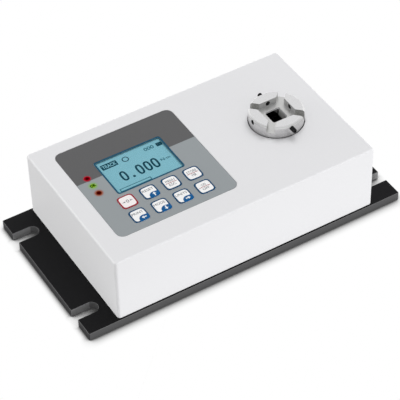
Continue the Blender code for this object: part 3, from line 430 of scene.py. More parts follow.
@dataclass(frozen=True)
class TurnedMetal(Finish):
    """A metal with the faint rings of a lathe or a polishing wheel round an axis in plan.

    The wave's phase grows by one radian in ring_mm, because a wave of scale one has 20 radians a metre.
    """

    metallic: float = 1.0
    axis_mm: tuple[float, float] = (76.0, 0.0)
    ring_mm: float = 0.5
    ring_depth_mm: float = 0.001
    radians_a_metre: float = 20.0
    wobble: float = 0.4
    wobble_detail: float = 2.0

    def dress(self, tree: Tree) -> None:
        """Adds the rings to the grain's own height.

        Args:
            tree: The material's tree.
        """
        super().dress(tree)
        principled = tree.nodes["Principled BSDF"]
        shifted = add_node(tree, "Mapping", {"Vector": self.place(tree),
                                             "Location": metres(-self.axis_mm[0], -self.axis_mm[1], 0.0)})
        scale = 1 / (self.ring_mm * MM * self.radians_a_metre)
        rings = add_node(tree, "TexWave", {"Vector": shifted, "Scale": scale, "Distortion": self.wobble,
                                           "Detail": self.wobble_detail},
                         wave_type="RINGS", rings_direction="Z")
        bump = add_node(tree, "Bump", {"Height": rings.outputs["Fac"], "Strength": 1.0,
                                       "Distance": self.ring_depth_mm * MM,
                                       "Normal": principled.inputs["Normal"].links[0].from_socket})
        wire(principled, {"Normal": bump})


@dataclass(frozen=True)
class ClearPane(Finish):
    """A clear sheet: it lets most of the light straight through and keeps a thin gloss."""

    alpha: float = 0.05

    def shader(self, tree: Tree) -> Node:
        """The principled shader, mostly see-through.

        Args:
            tree: The material's tree.

        Returns:
            The principled shader.
        """
        principled = super().shader(tree)
        wire(principled, {"Alpha": self.alpha})
        return principled


@dataclass(frozen=True)
class GlowLens(Finish):
    """A lamp's lens, lit in the middle and fading to a second colour at its rim."""

    roughness: float = 0.4
    specular: float = 0.0
    grain_mm: float = 0.4
    grain_depth_mm: float = 0.002
    rim: str = "#808080"
    centre_mm: tuple[float, float] = (0.0, 0.0)
    core_mm: float = 1.2
    reach_mm: float = 2.8
    glow: float = 0.0

    def base(self, tree: Tree, place: Socket) -> Node:
        """The colour by the distance from the lens's middle.

        Args:
            tree: The material's tree.
            place: The point on the object.

        Returns:
            The node whose colour it is.
        """
        middle = add_node(tree, "Mapping", {"Vector": place, "Scale": (1.0, 1.0, 0.0),
                                            "Location": metres(-self.centre_mm[0], -self.centre_mm[1], 0.0)})
        away = add_node(tree, "VectorMath", (middle,), operation="LENGTH")
        fade = add_node(tree, "MapRange", (away, *metres(self.core_mm, self.reach_mm), 0.0, 1.0),
                        interpolation_type="SMOOTHSTEP")
        mix = add_node(tree, "Mix", {"Factor": fade, "A": linear(self.colour), "B": linear(self.rim)},
                       data_type="RGBA")
        wire(tree.nodes["Principled BSDF"], {"Emission Color": mix, "Emission Strength": self.glow})
        return mix


@dataclass(frozen=True)
class LitFilm(GlowLens):
    """The panel's film where a lens's light spills through it."""

    roughness: float = 0.48
    specular: float = 0.5
    grain_mm: float = 0.35
    grain_depth_mm: float = 0.004


@dataclass(frozen=True)
class DotMatrix(Finish):
    """A backlit liquid crystal face with the faint square grid of its dots."""

    dot_mm: float = 0.5
    gap: float = 0.12
    grid: str = "#000000"

    def base(self, tree: Tree, place: Socket) -> Node:
        """The grid's colour where a point lies in the gap between two dots, along X or along Y.

        Args:
            tree: The material's tree.
            place: The point on the object.

        Returns:
            The node whose colour it is.
        """
        split = add_node(tree, "SeparateXYZ", (place,))
        lines = []
        for along in "XY":
            steps = add_node(tree, "Math", (split.outputs[along], 1 / (self.dot_mm * MM)),
                             operation="MULTIPLY")
            part = add_node(tree, "Math", (steps,), operation="FRACT")
            lines.append(add_node(tree, "Math", (part, self.gap), operation="LESS_THAN"))
        either = add_node(tree, "Math", lines, operation="MAXIMUM")
        return add_node(tree, "Mix", {"Factor": either, "A": linear(self.colour), "B": linear(self.grid)},
                        data_type="RGBA")


@dataclass(frozen=True)
class BlackCoatPaintedLight(Finish):
    """Black powder coat on a side or an edge of the plate, in a lighter or darker grey that is painted light
    or shade.
    """

    specular: float = 0.2
    grain_mm: float = 0.7
    grain_depth_mm: float = 0.008
    colour_spread: float = 0.12


@dataclass(frozen=True)
class CutSteel(Finish):
    """Stainless steel as a tool leaves it."""

    metallic: float = 1.0
    grain_mm: float = 0.7
    grain_depth_mm: float = 0.0015
    colour_spread: float = 0.12


@dataclass(frozen=True)
class Ink(Finish):
    """A printed ink or a darkened dot: thin, flat and even."""

    roughness: float = 0.4
    specular: float = 0.15
    grain_mm: float = 0.3
    grain_depth_mm: float = 0.001


# Baked polyester powder: an even satin white with the fine orange peel of a sprayed and melted coat.
WHITE_COAT = Finish("white_powder_coat", "white_coat", "#f0f0f2", 0.55, specular=0.08, grain_mm=1.4,
                    grain_depth_mm=0.010, roughness_spread=0.04, colour_spread=0.012)
# The same coat in black on the flat of the plate, matt enough to stay dark under the lamps.
BLACK_COAT = Finish("black_powder_coat", "black_coat", "#232324", 0.62, specular=0.03, grain_mm=0.9,
                    grain_depth_mm=0.012, roughness_spread=0.05, colour_spread=0.10)
# The plate's long sides: the black coat smoother and in a lighter grey, which is painted light.
BLACK_SIDE_PAINTED_LIGHT = BlackCoatPaintedLight("black_coat_with_painted_light_on_side", "black_coat", "#555556", 0.42, colour_spread=0.08)
# The slots' straight walls and round ends: the black coat in lighter greys, painted light against the slots'
# shade.
SLOT_WALL_PAINTED_LIGHT = BlackCoatPaintedLight("black_coat_with_painted_light_on_slot_wall", "black_coat", "#a9a9aa", 0.42)
SLOT_END_PAINTED_LIGHT = BlackCoatPaintedLight("black_coat_with_painted_light_on_slot_end", "black_coat", "#828283", 0.5, specular=0.15)
# The plate's ends: the black coat rougher and duller, in a darker grey than the long sides, which is painted
# shade.
BLACK_END_PAINTED_SHADE = BlackCoatPaintedLight("black_coat_with_painted_shade_on_end", "black_coat", "#2f2f30", 0.55, specular=0.15, grain_mm=0.5,
                     grain_depth_mm=0.014, colour_spread=0.10)
# On the broken edges the black coat is a lighter grey: a fine painted highlight line.
BLACK_RIM_PAINTED_HIGHLIGHT = BlackCoatPaintedLight("black_coat_with_painted_highlight_on_edge", "black_coat", "#747475", 0.45, grain_mm=0.6,
                     grain_depth_mm=0.004, colour_spread=0.15)
# Screen printed polyester film with a fine matt texture.
PANEL_FILM = TwoToneFilm("screen_printed_polyester", "panel_print", "#999fa2", 0.48, grain_mm=0.35,
                         colour_spread=0.02, second="#585859", border_mm=19.0)
# Embossed keys of the same film, printed white on the back: clean and a little glossy.
KEY_FILM = Finish("embossed_white_polyester", "key_plastic", "#ffffff", 0.34, grain_mm=0.4,
                  grain_depth_mm=0.002, colour_spread=0.01)
# The zero key's white is faintly pink beside its red print.
ZERO_FILM = replace(KEY_FILM, name="embossed_pale_pink_polyester", colour="#fff9f9")
# Screen inks on the keys and round the window, under the film's own low gloss.
BLUE_INK = Ink("blue_screen_ink", "key_plastic", "#005994")
NAVY_INK = Ink("dark_blue_screen_ink", "key_plastic", "#0a456b")
RED_INK = Ink("red_screen_ink", "key_plastic", "#9c2432")
GREY_INK = Ink("grey_screen_ink", "key_plastic", "#676a72")
WHITE_INK = Ink("white_screen_ink", "key_plastic", "#f4f8fb", specular=0.5)
WINDOW_INK = Ink("window_border_ink", "clear_pane", "#16536f", 0.35)
# Backlit liquid crystal: a flat cyan with the grid of its dots, which darken where they are switched on.
CRYSTAL = DotMatrix("backlit_liquid_crystal", "lcd", "#95d1e0", 0.22, specular=0.05, grain_mm=3.0,
                    grain_depth_mm=0.001, roughness_spread=0.02, colour_spread=0.015, dot_mm=0.52, gap=0.14,
                    grid="#8cc9d8")
SEGMENT = Ink("darkened_liquid_crystal", "lcd", "#0a4050", 0.3, specular=0.05)
FAINT_SEGMENT = Ink("half_darkened_liquid_crystal", "lcd", "#2d6b7c", 0.3, specular=0.05)
# Cast acrylic: clear with a thin gloss.
ACRYLIC = ClearPane("cast_acrylic", "clear_pane", "#3c8090", 0.08, ior=1.49, specular=0.15, grain_mm=6.0,
                    grain_depth_mm=0.0005, roughness_spread=0.02, colour_spread=0.0)
# Stainless steel, milled, ground and polished: near mirror bright with a trace of the wheel.
POLISHED = TurnedMetal("polished_stainless_steel", "polished_steel", "#dadadb", 0.14, grain_mm=2.5,
                       grain_depth_mm=0.0006, roughness_spread=0.05, colour_spread=0.04, ring_mm=0.6,
                       ring_depth_mm=0.0006)
# The pocket's floor is left as milled and blasted: pale, with the light spread.
BLASTED = CutSteel("blasted_stainless_steel", "polished_steel", "#d4d4d3", 0.35, metallic=0.55)
# The slots' walls are left as milled: greyer than the jaws.
MILLED = CutSteel("milled_stainless_steel", "polished_steel", "#c7c7c5", 0.3)
# The pocket's walls are ground smooth, so they mirror the floor below them.
GROUND_WALL = CutSteel("ground_stainless_wall", "polished_steel", "#dedede", 0.12, grain_depth_mm=0.0006,
                       roughness_spread=0.04, colour_spread=0.05)
# A broach leaves the drive hole's walls torn and dull; the walls across X get this pale, half diffuse finish
# as painted light, and those across Y stay polished.
BROACHED_PAINTED_LIGHT = CutSteel("broached_steel_with_painted_light", "polished_steel", "#e4e4e2", 0.6, metallic=0.2, grain_mm=0.6,
                    grain_depth_mm=0.004, colour_spread=0.15)
# The broken edge round the jaws is filed and scatters the light; its near-white colour is a painted
# highlight.
FILED_EDGE_PAINTED_HIGHLIGHT = CutSteel("filed_stainless_edge_with_painted_highlight", "polished_steel", "#f6f6f6", 0.45, metallic=0.7, grain_mm=0.6,
                      grain_depth_mm=0.002, roughness_spread=0.08, colour_spread=0.10)
# The ring's outer wall is left as turned: duller than the jaws' polished tops.
TURNED_WALL = TurnedMetal("turned_stainless_steel", "polished_steel", "#d8d7d7", 0.3, grain_mm=1.6,
                          grain_depth_mm=0.0004, roughness_spread=0.04, colour_spread=0.08,
                          ring_depth_mm=0.0002)
# Alloy steel straight from the lathe: greyer, with rings that show.
TURNED = TurnedMetal("turned_alloy_steel", "turned_steel", "#9a9a9d", 0.32, grain_mm=1.2,
                     grain_depth_mm=0.001, ring_mm=0.4, ring_depth_mm=0.003)
# Zinc plated steel: a bright bluish grey with cloudy patches.
ZINC = Finish("zinc_plated_steel", "zinc_steel", "#b9bdc2", 0.34, metallic=1.0, grain_mm=1.0,
              grain_depth_mm=0.001, roughness_spread=0.08, colour_spread=0.08)
# Thin bright stainless sheet, as rolled.
DOME_STEEL = Finish("stainless_dome_sheet", "dome_metal", "#c6c6c4", 0.3, metallic=1.0)
# Black oxide on hardened steel: dark and oily, with the metal just showing.
BLACK_OXIDE = Finish("black_oxide_steel", "black_oxide", "#29292b", 0.36, metallic=0.7, grain_mm=0.4,
                     grain_depth_mm=0.002, roughness_spread=0.1, colour_spread=0.2)
# A flash of gold over nickel: warm and bright.
GOLD_FLASH = Finish("gold_flashed_contact", "zinc_steel", "#d8b76a", 0.25, metallic=1.0, grain_mm=0.5)
# Glass fibre laminate under green solder resist: its weave shows as a cloudy green.
LAMINATE = Finish("green_solder_resist", "circuit_board", "#1f5c36", 0.42, grain_mm=0.5,
                  grain_depth_mm=0.006, colour_spread=0.15)
# Moulded plastics, vinyl and rubber inside: even and dull, each with its mould's or sleeve's own grain.
MOULDED_BLACK = Finish("moulded_black_plastic", "dark_plastic", "#242425", grain_mm=0.25,
                       grain_depth_mm=0.006, colour_spread=0.08)
NYLON = Finish("natural_nylon", "nylon", "#dcd8ca", grain_mm=0.6, grain_depth_mm=0.003)
RIBBON = Finish("grey_vinyl_ribbon", "ribbon", "#8b8f92", 0.45, grain_mm=0.9, grain_depth_mm=0.01)
SHEATH = Finish("black_rubber_sheath", "cable_rubber", "#1e1e1f", 0.6, grain_mm=0.4, grain_depth_mm=0.01)
SLEEVE = Finish("blue_shrink_sleeve", "blue_sleeve", "#2a5fae", 0.35, grain_mm=2.0, grain_depth_mm=0.02)
# Moulded lenses, each lit from behind: strong in the middle, paler or duller at the rim.
RED_LENS = GlowLens("lit_red_lens", "red_lens", "#500000", rim="#a80820", centre_mm=(-95.7, 22.3),
                    core_mm=1.0, reach_mm=2.4, glow=0.06)
GREEN_LENS = GlowLens("lit_green_lens", "green_lens", "#8cbc2c", rim="#8cb270", centre_mm=(-95.7, 12.3),
                      core_mm=1.6, reach_mm=2.9, glow=0.04)
ORANGE_LENS = GlowLens("lit_orange_lens", "red_lens", "#440000", rim="#9c5238", centre_mm=(-95.7, 2.3),
                       core_mm=1.4, reach_mm=2.9, glow=0.02)
DARK_RED_INK = Ink("dark_red_symbol_ink", "red_lens", "#440000", 0.5, specular=0.0)
DARK_GREEN_INK = Ink("dark_green_symbol_ink", "green_lens", "#1c4400", 0.5, specular=0.0)
# Light that spills through the film round each lit lens.
RED_HALO = LitFilm("red_light_in_the_film", "panel_print", "#b01030", rim="#5e5253", centre_mm=(-95.7, 22.3),
                   core_mm=2.6, reach_mm=3.9)
GREEN_HALO = LitFilm("green_light_in_the_film", "panel_print", "#8cb270", rim="#999fa2",
                     centre_mm=(-95.7, 12.3), core_mm=2.4, reach_mm=5.2)
ORANGE_HALO = LitFilm("orange_light_in_the_film", "panel_print", "#9c5238", rim="#999fa2",
                      centre_mm=(-95.7, 2.3), core_mm=2.4, reach_mm=4.9)

NODE_FINISHES = {
    finish.slot: finish
    for finish in (WHITE_COAT, BLACK_COAT, PANEL_FILM, ACRYLIC, CRYSTAL, KEY_FILM, RED_LENS, GREEN_LENS,
                   LAMINATE, MOULDED_BLACK, NYLON, RIBBON, SHEATH, ZINC, DOME_STEEL, TURNED, POLISHED,
                   BLACK_OXIDE, SLEEVE)
}


# Pieces

def mesh_of(name: str, shape: Shape) -> bpy.types.Mesh:
    """A mesh in metres from a shape in millimetres, with its faces turned to point outwards.

    Args:
        name: The mesh's name.
        shape: Points, quads and flats.

    Returns:
        The new mesh.
    """
    mesh = bpy.data.meshes.new(name)
    faces = shape.quads.tolist() + [flat.tolist() for flat in shape.flats]
    mesh.from_pydata((shape.points * MM).tolist(), [], faces)
    bm = bmesh.new()
    bm.from_mesh(mesh)
    bmesh.ops.remove_doubles(bm, verts=bm.verts, dist=1e-7)
    bmesh.ops.recalc_face_normals(bm, faces=bm.faces)
    bm.to_mesh(mesh)
    bm.free()
    mesh.update()
    return mesh


def bake_modifiers(piece: Piece) -> None:
    """Replaces a piece's mesh by what its modifiers make of it.

    Args:
        piece: The piece, left without modifiers.
    """
    graph = bpy.context.evaluated_depsgraph_get()
    made = bpy.data.meshes.new_from_object(piece.evaluated_get(graph), preserve_all_data_layers=True,
                                           depsgraph=graph)
    old = piece.data
    piece.modifiers.clear()
    piece.data = made
    bpy.data.meshes.remove(old)


def weld(piece: Piece, distance: float = 0.01 * MM) -> None:
    """Merges the doubled points that a cut leaves, which would hold back a later bevel.

    Args:
        piece: The piece.
        distance: How near two points are to be one, in metres.
    """
    bm = bmesh.new()
    bm.from_mesh(piece.data)
    bmesh.ops.remove_doubles(bm, verts=bm.verts, dist=distance)
    bmesh.ops.dissolve_degenerate(bm, edges=bm.edges, dist=distance)
    bm.to_mesh(piece.data)
    bm.free()


def carve(piece: Piece, tools: Sequence[Shape]) -> None:
    """Cuts closed shapes out of a piece, one after another.

    Args:
        piece: The piece that is cut.
        tools: The shapes to take away.
    """
    for tool in tools:
        blade = linked("blade", mesh_of("blade", tool))
        cut = piece.modifiers.new("cut", "BOOLEAN")
        cut.operation, cut.solver, cut.object = "DIFFERENCE", "EXACT", blade
        bake_modifiers(piece)
        bpy.data.objects.remove(blade)
        weld(piece)


def soften(piece: Piece, width_mm: float, segments: int = 3, angle: float = 30.0) -> None:
    """Rounds a piece's crisp edges, so that they catch the light.

    Args:
        piece: The piece.
        width_mm: How wide the rounding is.
        segments: Steps across it.
        angle: The least bend of an edge that is rounded, in degrees.
    """
    bevel = piece.modifiers.new("soften", "BEVEL")
    bevel.width, bevel.segments = width_mm * MM, segments
    bevel.limit_method, bevel.angle_limit = "ANGLE", math.radians(angle)
    bevel.use_clamp_overlap = True
    bake_modifiers(piece)


def smooth(piece: Piece) -> None:
    """Shades round faces smooth and keeps flat faces flat, by weighting normals by face area.

    Args:
        piece: The piece.
    """
    piece.data.shade_smooth()
    piece.data.set_sharp_from_angle(angle=CREASE)
    weigh = piece.modifiers.new("weigh", "WEIGHTED_NORMAL")
    weigh.mode, weigh.weight, weigh.keep_sharp = "FACE_AREA", 100, True
    bake_modifiers(piece)


def add_piece(name: str, shape: Shape, finish: Finish, body: str = TESTER) -> Piece:
    """Makes a shape a dressed piece that rides on a body.

    Args:
        name: The piece's name.
        shape: Its points and faces, in millimetres.
        finish: What it is made of.
        body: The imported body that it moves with.

    Returns:
        The new object, at the origin.
    """
    piece = linked(name, mesh_of(name, shape))
    piece.data.materials.append(material_of(finish))
    piece.data.shade_smooth()
    piece.data.set_sharp_from_angle(angle=CREASE)
    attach(piece, body)
    log.info("%s: %d faces, %s", name, len(piece.data.polygons), finish.name)
    return piece


def face_places(piece: Piece) -> tuple[np.ndarray, np.ndarray]:
    """Each face's centre in millimetres, and its normal without signs."""
    return rows_of(piece.data.polygons, "center") / MM, np.abs(rows_of(piece.data.polygons, "normal"))


def finish_faces(piece: Piece, choices: Sequence[tuple[np.ndarray, Finish]], rest: Finish) -> None:
    """Gives each face the finish of the first test that it passes, and smooths the piece.

    Args:
        piece: The piece, already in one finish.
        choices: Pairs of a test, with one truth value a face, and a finish.
        rest: The finish of the faces that pass none.
    """
    tests, finishes = zip(*choices)
    materials = piece.data.materials
    for finish in (*finishes, rest):
        if finish.name not in materials:
            materials.append(material_of(finish))
    kinds = np.select(tests, [materials.find(finish.name) for finish in finishes], materials.find(rest.name))
    piece.data.polygons.foreach_set("material_index", kinds.astype(np.int32))
    smooth(piece)


def box_mm(node: str) -> tuple[np.ndarray, np.ndarray]:
    """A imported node's lowest and highest corners, in millimetres."""
    low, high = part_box(node)
    return np.array(low) / MM, np.array(high) / MM


def node_centre(node: str) -> np.ndarray:
    """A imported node's centre in plan, in millimetres."""
    return sum(box_mm(node))[:2] / 2


def socket_outline(across: float, steps: int) -> np.ndarray:
    """A hexagon in polar form: a flat's distance over the cosine of the angle from that flat's middle.

    Args:
        across: The hexagon's size from flat to flat.
        steps: Number of points.

    Returns:
        The outline's points, against the clock.
    """
    angles = 2 * np.pi * np.arange(steps) / steps
    reach = across / 2 / np.cos((angles + np.pi / 6) % (np.pi / 3) - np.pi / 6)
    return np.stack((reach * np.cos(angles), reach * np.sin(angles)), axis=1)


@dataclass
class BasePlate:
    """The black steel plate with two open slots in each end and countersunk holes from below."""

    length: float = 306.0
    depth: float = 154.0
    thickness: float = 8.0
    corner: float = 0.8
    edge: float = 0.4
    slot_width: float = 12.0
    slot_depth: float = 21.5
    slot_spacing: float = 104.0
    clearance: float = 0.3
    countersink: float = 2.0
    flat: float = 0.95
    upright: float = 0.15
    straight: float = 0.98
    sideways: float = 0.8
    end_margin: float = 0.2
    side_margin: float = 1.0

    def outline(self, inset: float) -> np.ndarray:
        """The plate's outline drawn in by inset: half of it as arcs and slot ends, the other half turned.

        Args:
            inset: How far inside the plate's edge it runs.

        Returns:
            The outline's points, against the clock.
        """
        right, back = self.length / 2 - inset, self.depth / 2 - inset
        corner = self.corner - inset
        slot_end = self.length / 2 - self.slot_depth + self.slot_width / 2
        half = [arc((right - corner, corner - back), corner, 270, 360, 6)]
        for middle in (-self.slot_spacing / 2, self.slot_spacing / 2):
            reach = self.slot_width / 2 + inset
            half += [np.array(((right, middle - reach),)), arc((slot_end, middle), reach, 270, 90, 28),
                     np.array(((right, middle + reach),))]
        half.append(arc((right - corner, back - corner), corner, 0, 90, 6))
        points = np.concatenate(half)
        return np.concatenate((points, -points))

    def hole(self, screw: str) -> Shape:
        """The clearance hole of one flush screw, with its cone, from below the plate to above it.

        Args:
            screw: The screw's node.

        Returns:
            The cutter.
        """
        low, high = box_mm(screw)
        wide = (high[0] - low[0]) / 2 + self.clearance
        narrow, sink = wide - self.countersink, low[2]
        profile = ((wide, -1.0), (wide, sink), (narrow, sink + self.countersink),
                   (narrow, self.thickness + 1))
        return turned_profile(profile, 32).moved(*node_centre(screw))

    def build(self, screws: Sequence[str]) -> None:
        """Builds the plate with a softened rim, cuts its holes and gives its cut edges greys of the coat that
        are painted light and shade.

        Args:
            screws: The nodes of the flush screws under it.
        """
        turns = np.radians(np.linspace(0, 90, 4))
        rise = [(self.edge * (1 - math.sin(t)), self.edge * (1 - math.cos(t))) for t in turns]
        levels = rise + [(inset, self.thickness - level) for inset, level in rise[::-1]]
        shape = lofted([at_level(self.outline(inset), level) for inset, level in levels])
        plate = add_piece("steel_base_plate", shape, BLACK_COAT)
        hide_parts("base_plate")
        carve(plate, [self.hole(screw) for screw in screws])
        places, normals = face_places(plate)
        reach, forward, rise = np.abs(places), normals[:, 1], normals[:, 2]
        in_slot = ((reach[:, 0] < self.length / 2 - self.corner - self.end_margin)
                   & (reach[:, 1] < self.depth / 2 - self.side_margin))
        # Painted light and shade: the rim, the slots and the long sides get lighter greys of the black coat,
        # the ends a darker one.
        finish_faces(plate, ((rise > self.flat, BLACK_COAT), (rise > self.upright, BLACK_RIM_PAINTED_HIGHLIGHT),
                             (in_slot & (forward > self.straight), SLOT_WALL_PAINTED_LIGHT), (in_slot, SLOT_END_PAINTED_LIGHT),
                             (forward > self.sideways, BLACK_SIDE_PAINTED_LIGHT)), BLACK_END_PAINTED_SHADE)


@dataclass
class Panel:
    """The keypad panel in the housing's top: a printed film, a window and eight keys, all flush."""

    length: float = 113.0
    depth: float = 114.0
    corner: float = 6.3
    thickness: float = 0.5
    gap: float = 0.3
    window_length: float = 64.0
    window_depth: float = 44.0
    window_corner: float = 2.4
    window_border: float = 1.4
    window_thickness: float = 1.0
    least_corner: float = 0.4
    crystal_margin: float = 1.3
    key_length: float = 14.6
    key_depth: float = 15.0
    lamp_radius: float = 2.8
    ink: float = 0.03

    def __post_init__(self) -> None:
        """Takes the panel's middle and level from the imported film."""
        self.top = box_mm("keypad_overlay")[1][2]
        self.middle = node_centre("keypad_overlay")
        self.window = node_centre("display_window")

    def window_outline(self, inset: float, corner_inset: float) -> np.ndarray:
        """The window's outline drawn in by inset, its corners rounded less by corner_inset."""
        corner = max(self.least_corner, self.window_corner - corner_inset)
        return rounded_rectangle(self.window_length - 2 * inset, self.window_depth - 2 * inset, corner)

    def openings(self, spread: float, window_inset: float, low: float, high: float) -> list[Shape]:
        """Cutters for the window, the keys and the lamps.

        Args:
            spread: How much wider than the piece each opening is, on each side.
            window_inset: How far inside the window's edge its cutter stays.
            low: The cutters' lowest level.
            high: Their highest level.

        Returns:
            One cutter an opening.
        """
        window = self.window_outline(window_inset - spread, window_inset)
        key = cushion(self.key_length + 2 * spread, self.key_depth + 2 * spread)
        lamp = circle(self.lamp_radius + spread)
        places = [(window, self.window), *((key, node_centre(name)) for name in KEYS),
                  *((lamp, node_centre(name)) for name in LAMPS)]
        return [slab(outline, low, high).moved(*middle) for outline, middle in places]

    def build(self) -> None:
        """Builds the film with its openings, the clear pane and the pane's printed border."""
        outline = rounded_rectangle(self.length, self.depth, self.corner)
        film = add_piece("printed_panel_film", slab(outline, self.top - self.thickness, self.top)
                         .moved(*self.middle), PANEL_FILM)
        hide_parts("keypad_overlay")
        carve(film, self.openings(self.gap * 0.5, 0.0, self.top - 5, self.top + 1))
        smooth(film)
        window = self.window_outline(0.0, 0.0)
        pane = add_piece("acrylic_pane", slab(window, self.top - self.window_thickness, self.top - self.ink)
                         .moved(*self.window), ACRYLIC)
        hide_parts("display_window")
        inner = self.window_outline(self.window_border, self.window_border)
        add_piece("window_border", band(window, inner, self.top - self.ink, self.top)
                  .moved(*self.window), WINDOW_INK)


@dataclass
class Housing:
    """The white cover: an open shell with a rounded rim, and every opening in its top and back."""

    wall: float = 3.0
    side_radius: float = 2.6
    least_radius: float = 0.3
    top_radius: float = 1.9
    foot_radius: float = 0.5
    gap: float = 0.3
    ring_gap: float = 0.6
    recess: float = 0.8
    seat: float = 1.3

    def build(self, panel: Panel, ring_radius: float) -> None:
        """Builds the shell, then cuts the panel's recess, the ring's hole and the ports.

        Args:
            panel: The panel that lies in the top.
            ring_radius: The adapter ring's radius.
        """
        low, high = box_mm("housing")
        length, depth = (high - low)[:2]
        foot, top = low[2], high[2]
        turns = np.radians(np.linspace(0, 90, 9))
        levels = [(self.wall, top - self.wall), (self.wall, foot), (self.foot_radius, foot),
                  (0.0, foot + self.foot_radius)]
        levels += [(self.top_radius * (1 - math.cos(t)), top - self.top_radius * (1 - math.sin(t)))
                   for t in turns]
        shell = [at_level(rounded_rectangle(length - 2 * inset, depth - 2 * inset,
                                            max(self.least_radius, self.side_radius - inset), 10), level)
                 for inset, level in levels]
        cover = add_piece("painted_cover", lofted(shell), WHITE_COAT)
        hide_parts("housing")
        spread, through = 2 * self.gap, top - self.wall - 1
        recess = rounded_rectangle(panel.length + spread, panel.depth + spread, panel.corner + self.gap)
        seat = panel.window_outline(-self.gap, 0.0)
        tools = [slab(recess, top - self.recess, top + 1).moved(*panel.middle),
                 slab(seat, top - self.seat, top + 1).moved(*panel.window),
                 *panel.openings(self.gap, panel.crystal_margin, through, top + 1),
                 slab(circle(ring_radius + self.ring_gap, 128), through, top + 1)
                 .moved(*node_centre("adapter_ring")),
                 *(self.port_opening(port, high[1]) for port in PORTS)]
        carve(cover, tools)
        smooth(cover)

    def port_opening(self, port: str, back: float) -> Shape:
        """The opening in the back wall round one port.

        Args:
            port: The port's node.
            back: Where the back wall's outside is.

        Returns:
            The cutter.
        """
        low, high = box_mm(port)
        outline = rounded_rectangle(high[0] - low[0] + 2 * self.gap, back + 1 - low[1], 0.01, 1)
        return slab(outline, low[2] - self.gap, high[2] + self.gap).moved(
            (low[0] + high[0]) / 2, (back + 1 + low[1]) / 2)


class Arrow(Enum):
    """Which way a key's arrow points, as a turn in degrees from the right."""

    RIGHT = 0
    UP = 90
    LEFT = 180
    DOWN = 270


@dataclass(frozen=True)
class KeyPrint:
    """What is printed on one key: its words from the top down, and its arrow."""

    body: str
    words: tuple[str, ...]
    arrow: Arrow | None = None
    zero: bool = False


KEYS = {
    "key_zero": KeyPrint("zero_key", ("0",), zero=True),
    "key_reset": KeyPrint("reset_key", ("RESET",), Arrow.UP),
    "key_menu": KeyPrint("menu_key", ("MENU", "ESC")),
    "key_store": KeyPrint("store_key", ("STORE", "MR")),
    "key_print": KeyPrint("print_key", ("PRINT",), Arrow.LEFT),
    "key_mode": KeyPrint("mode_key", ("MODE",), Arrow.DOWN),
    "key_units": KeyPrint("units_key", ("UNITS",), Arrow.RIGHT),
    "key_power": KeyPrint("power_key", ("ON", "OFF")),
}
LAMPS = {"led_high": (RED_LENS, DARK_RED_INK, RED_HALO),
         "led_ok": (GREEN_LENS, DARK_GREEN_INK, GREEN_HALO),
         "led_low": (ORANGE_LENS, DARK_RED_INK, ORANGE_HALO)}
PORTS = ("usb_port", "power_jack")


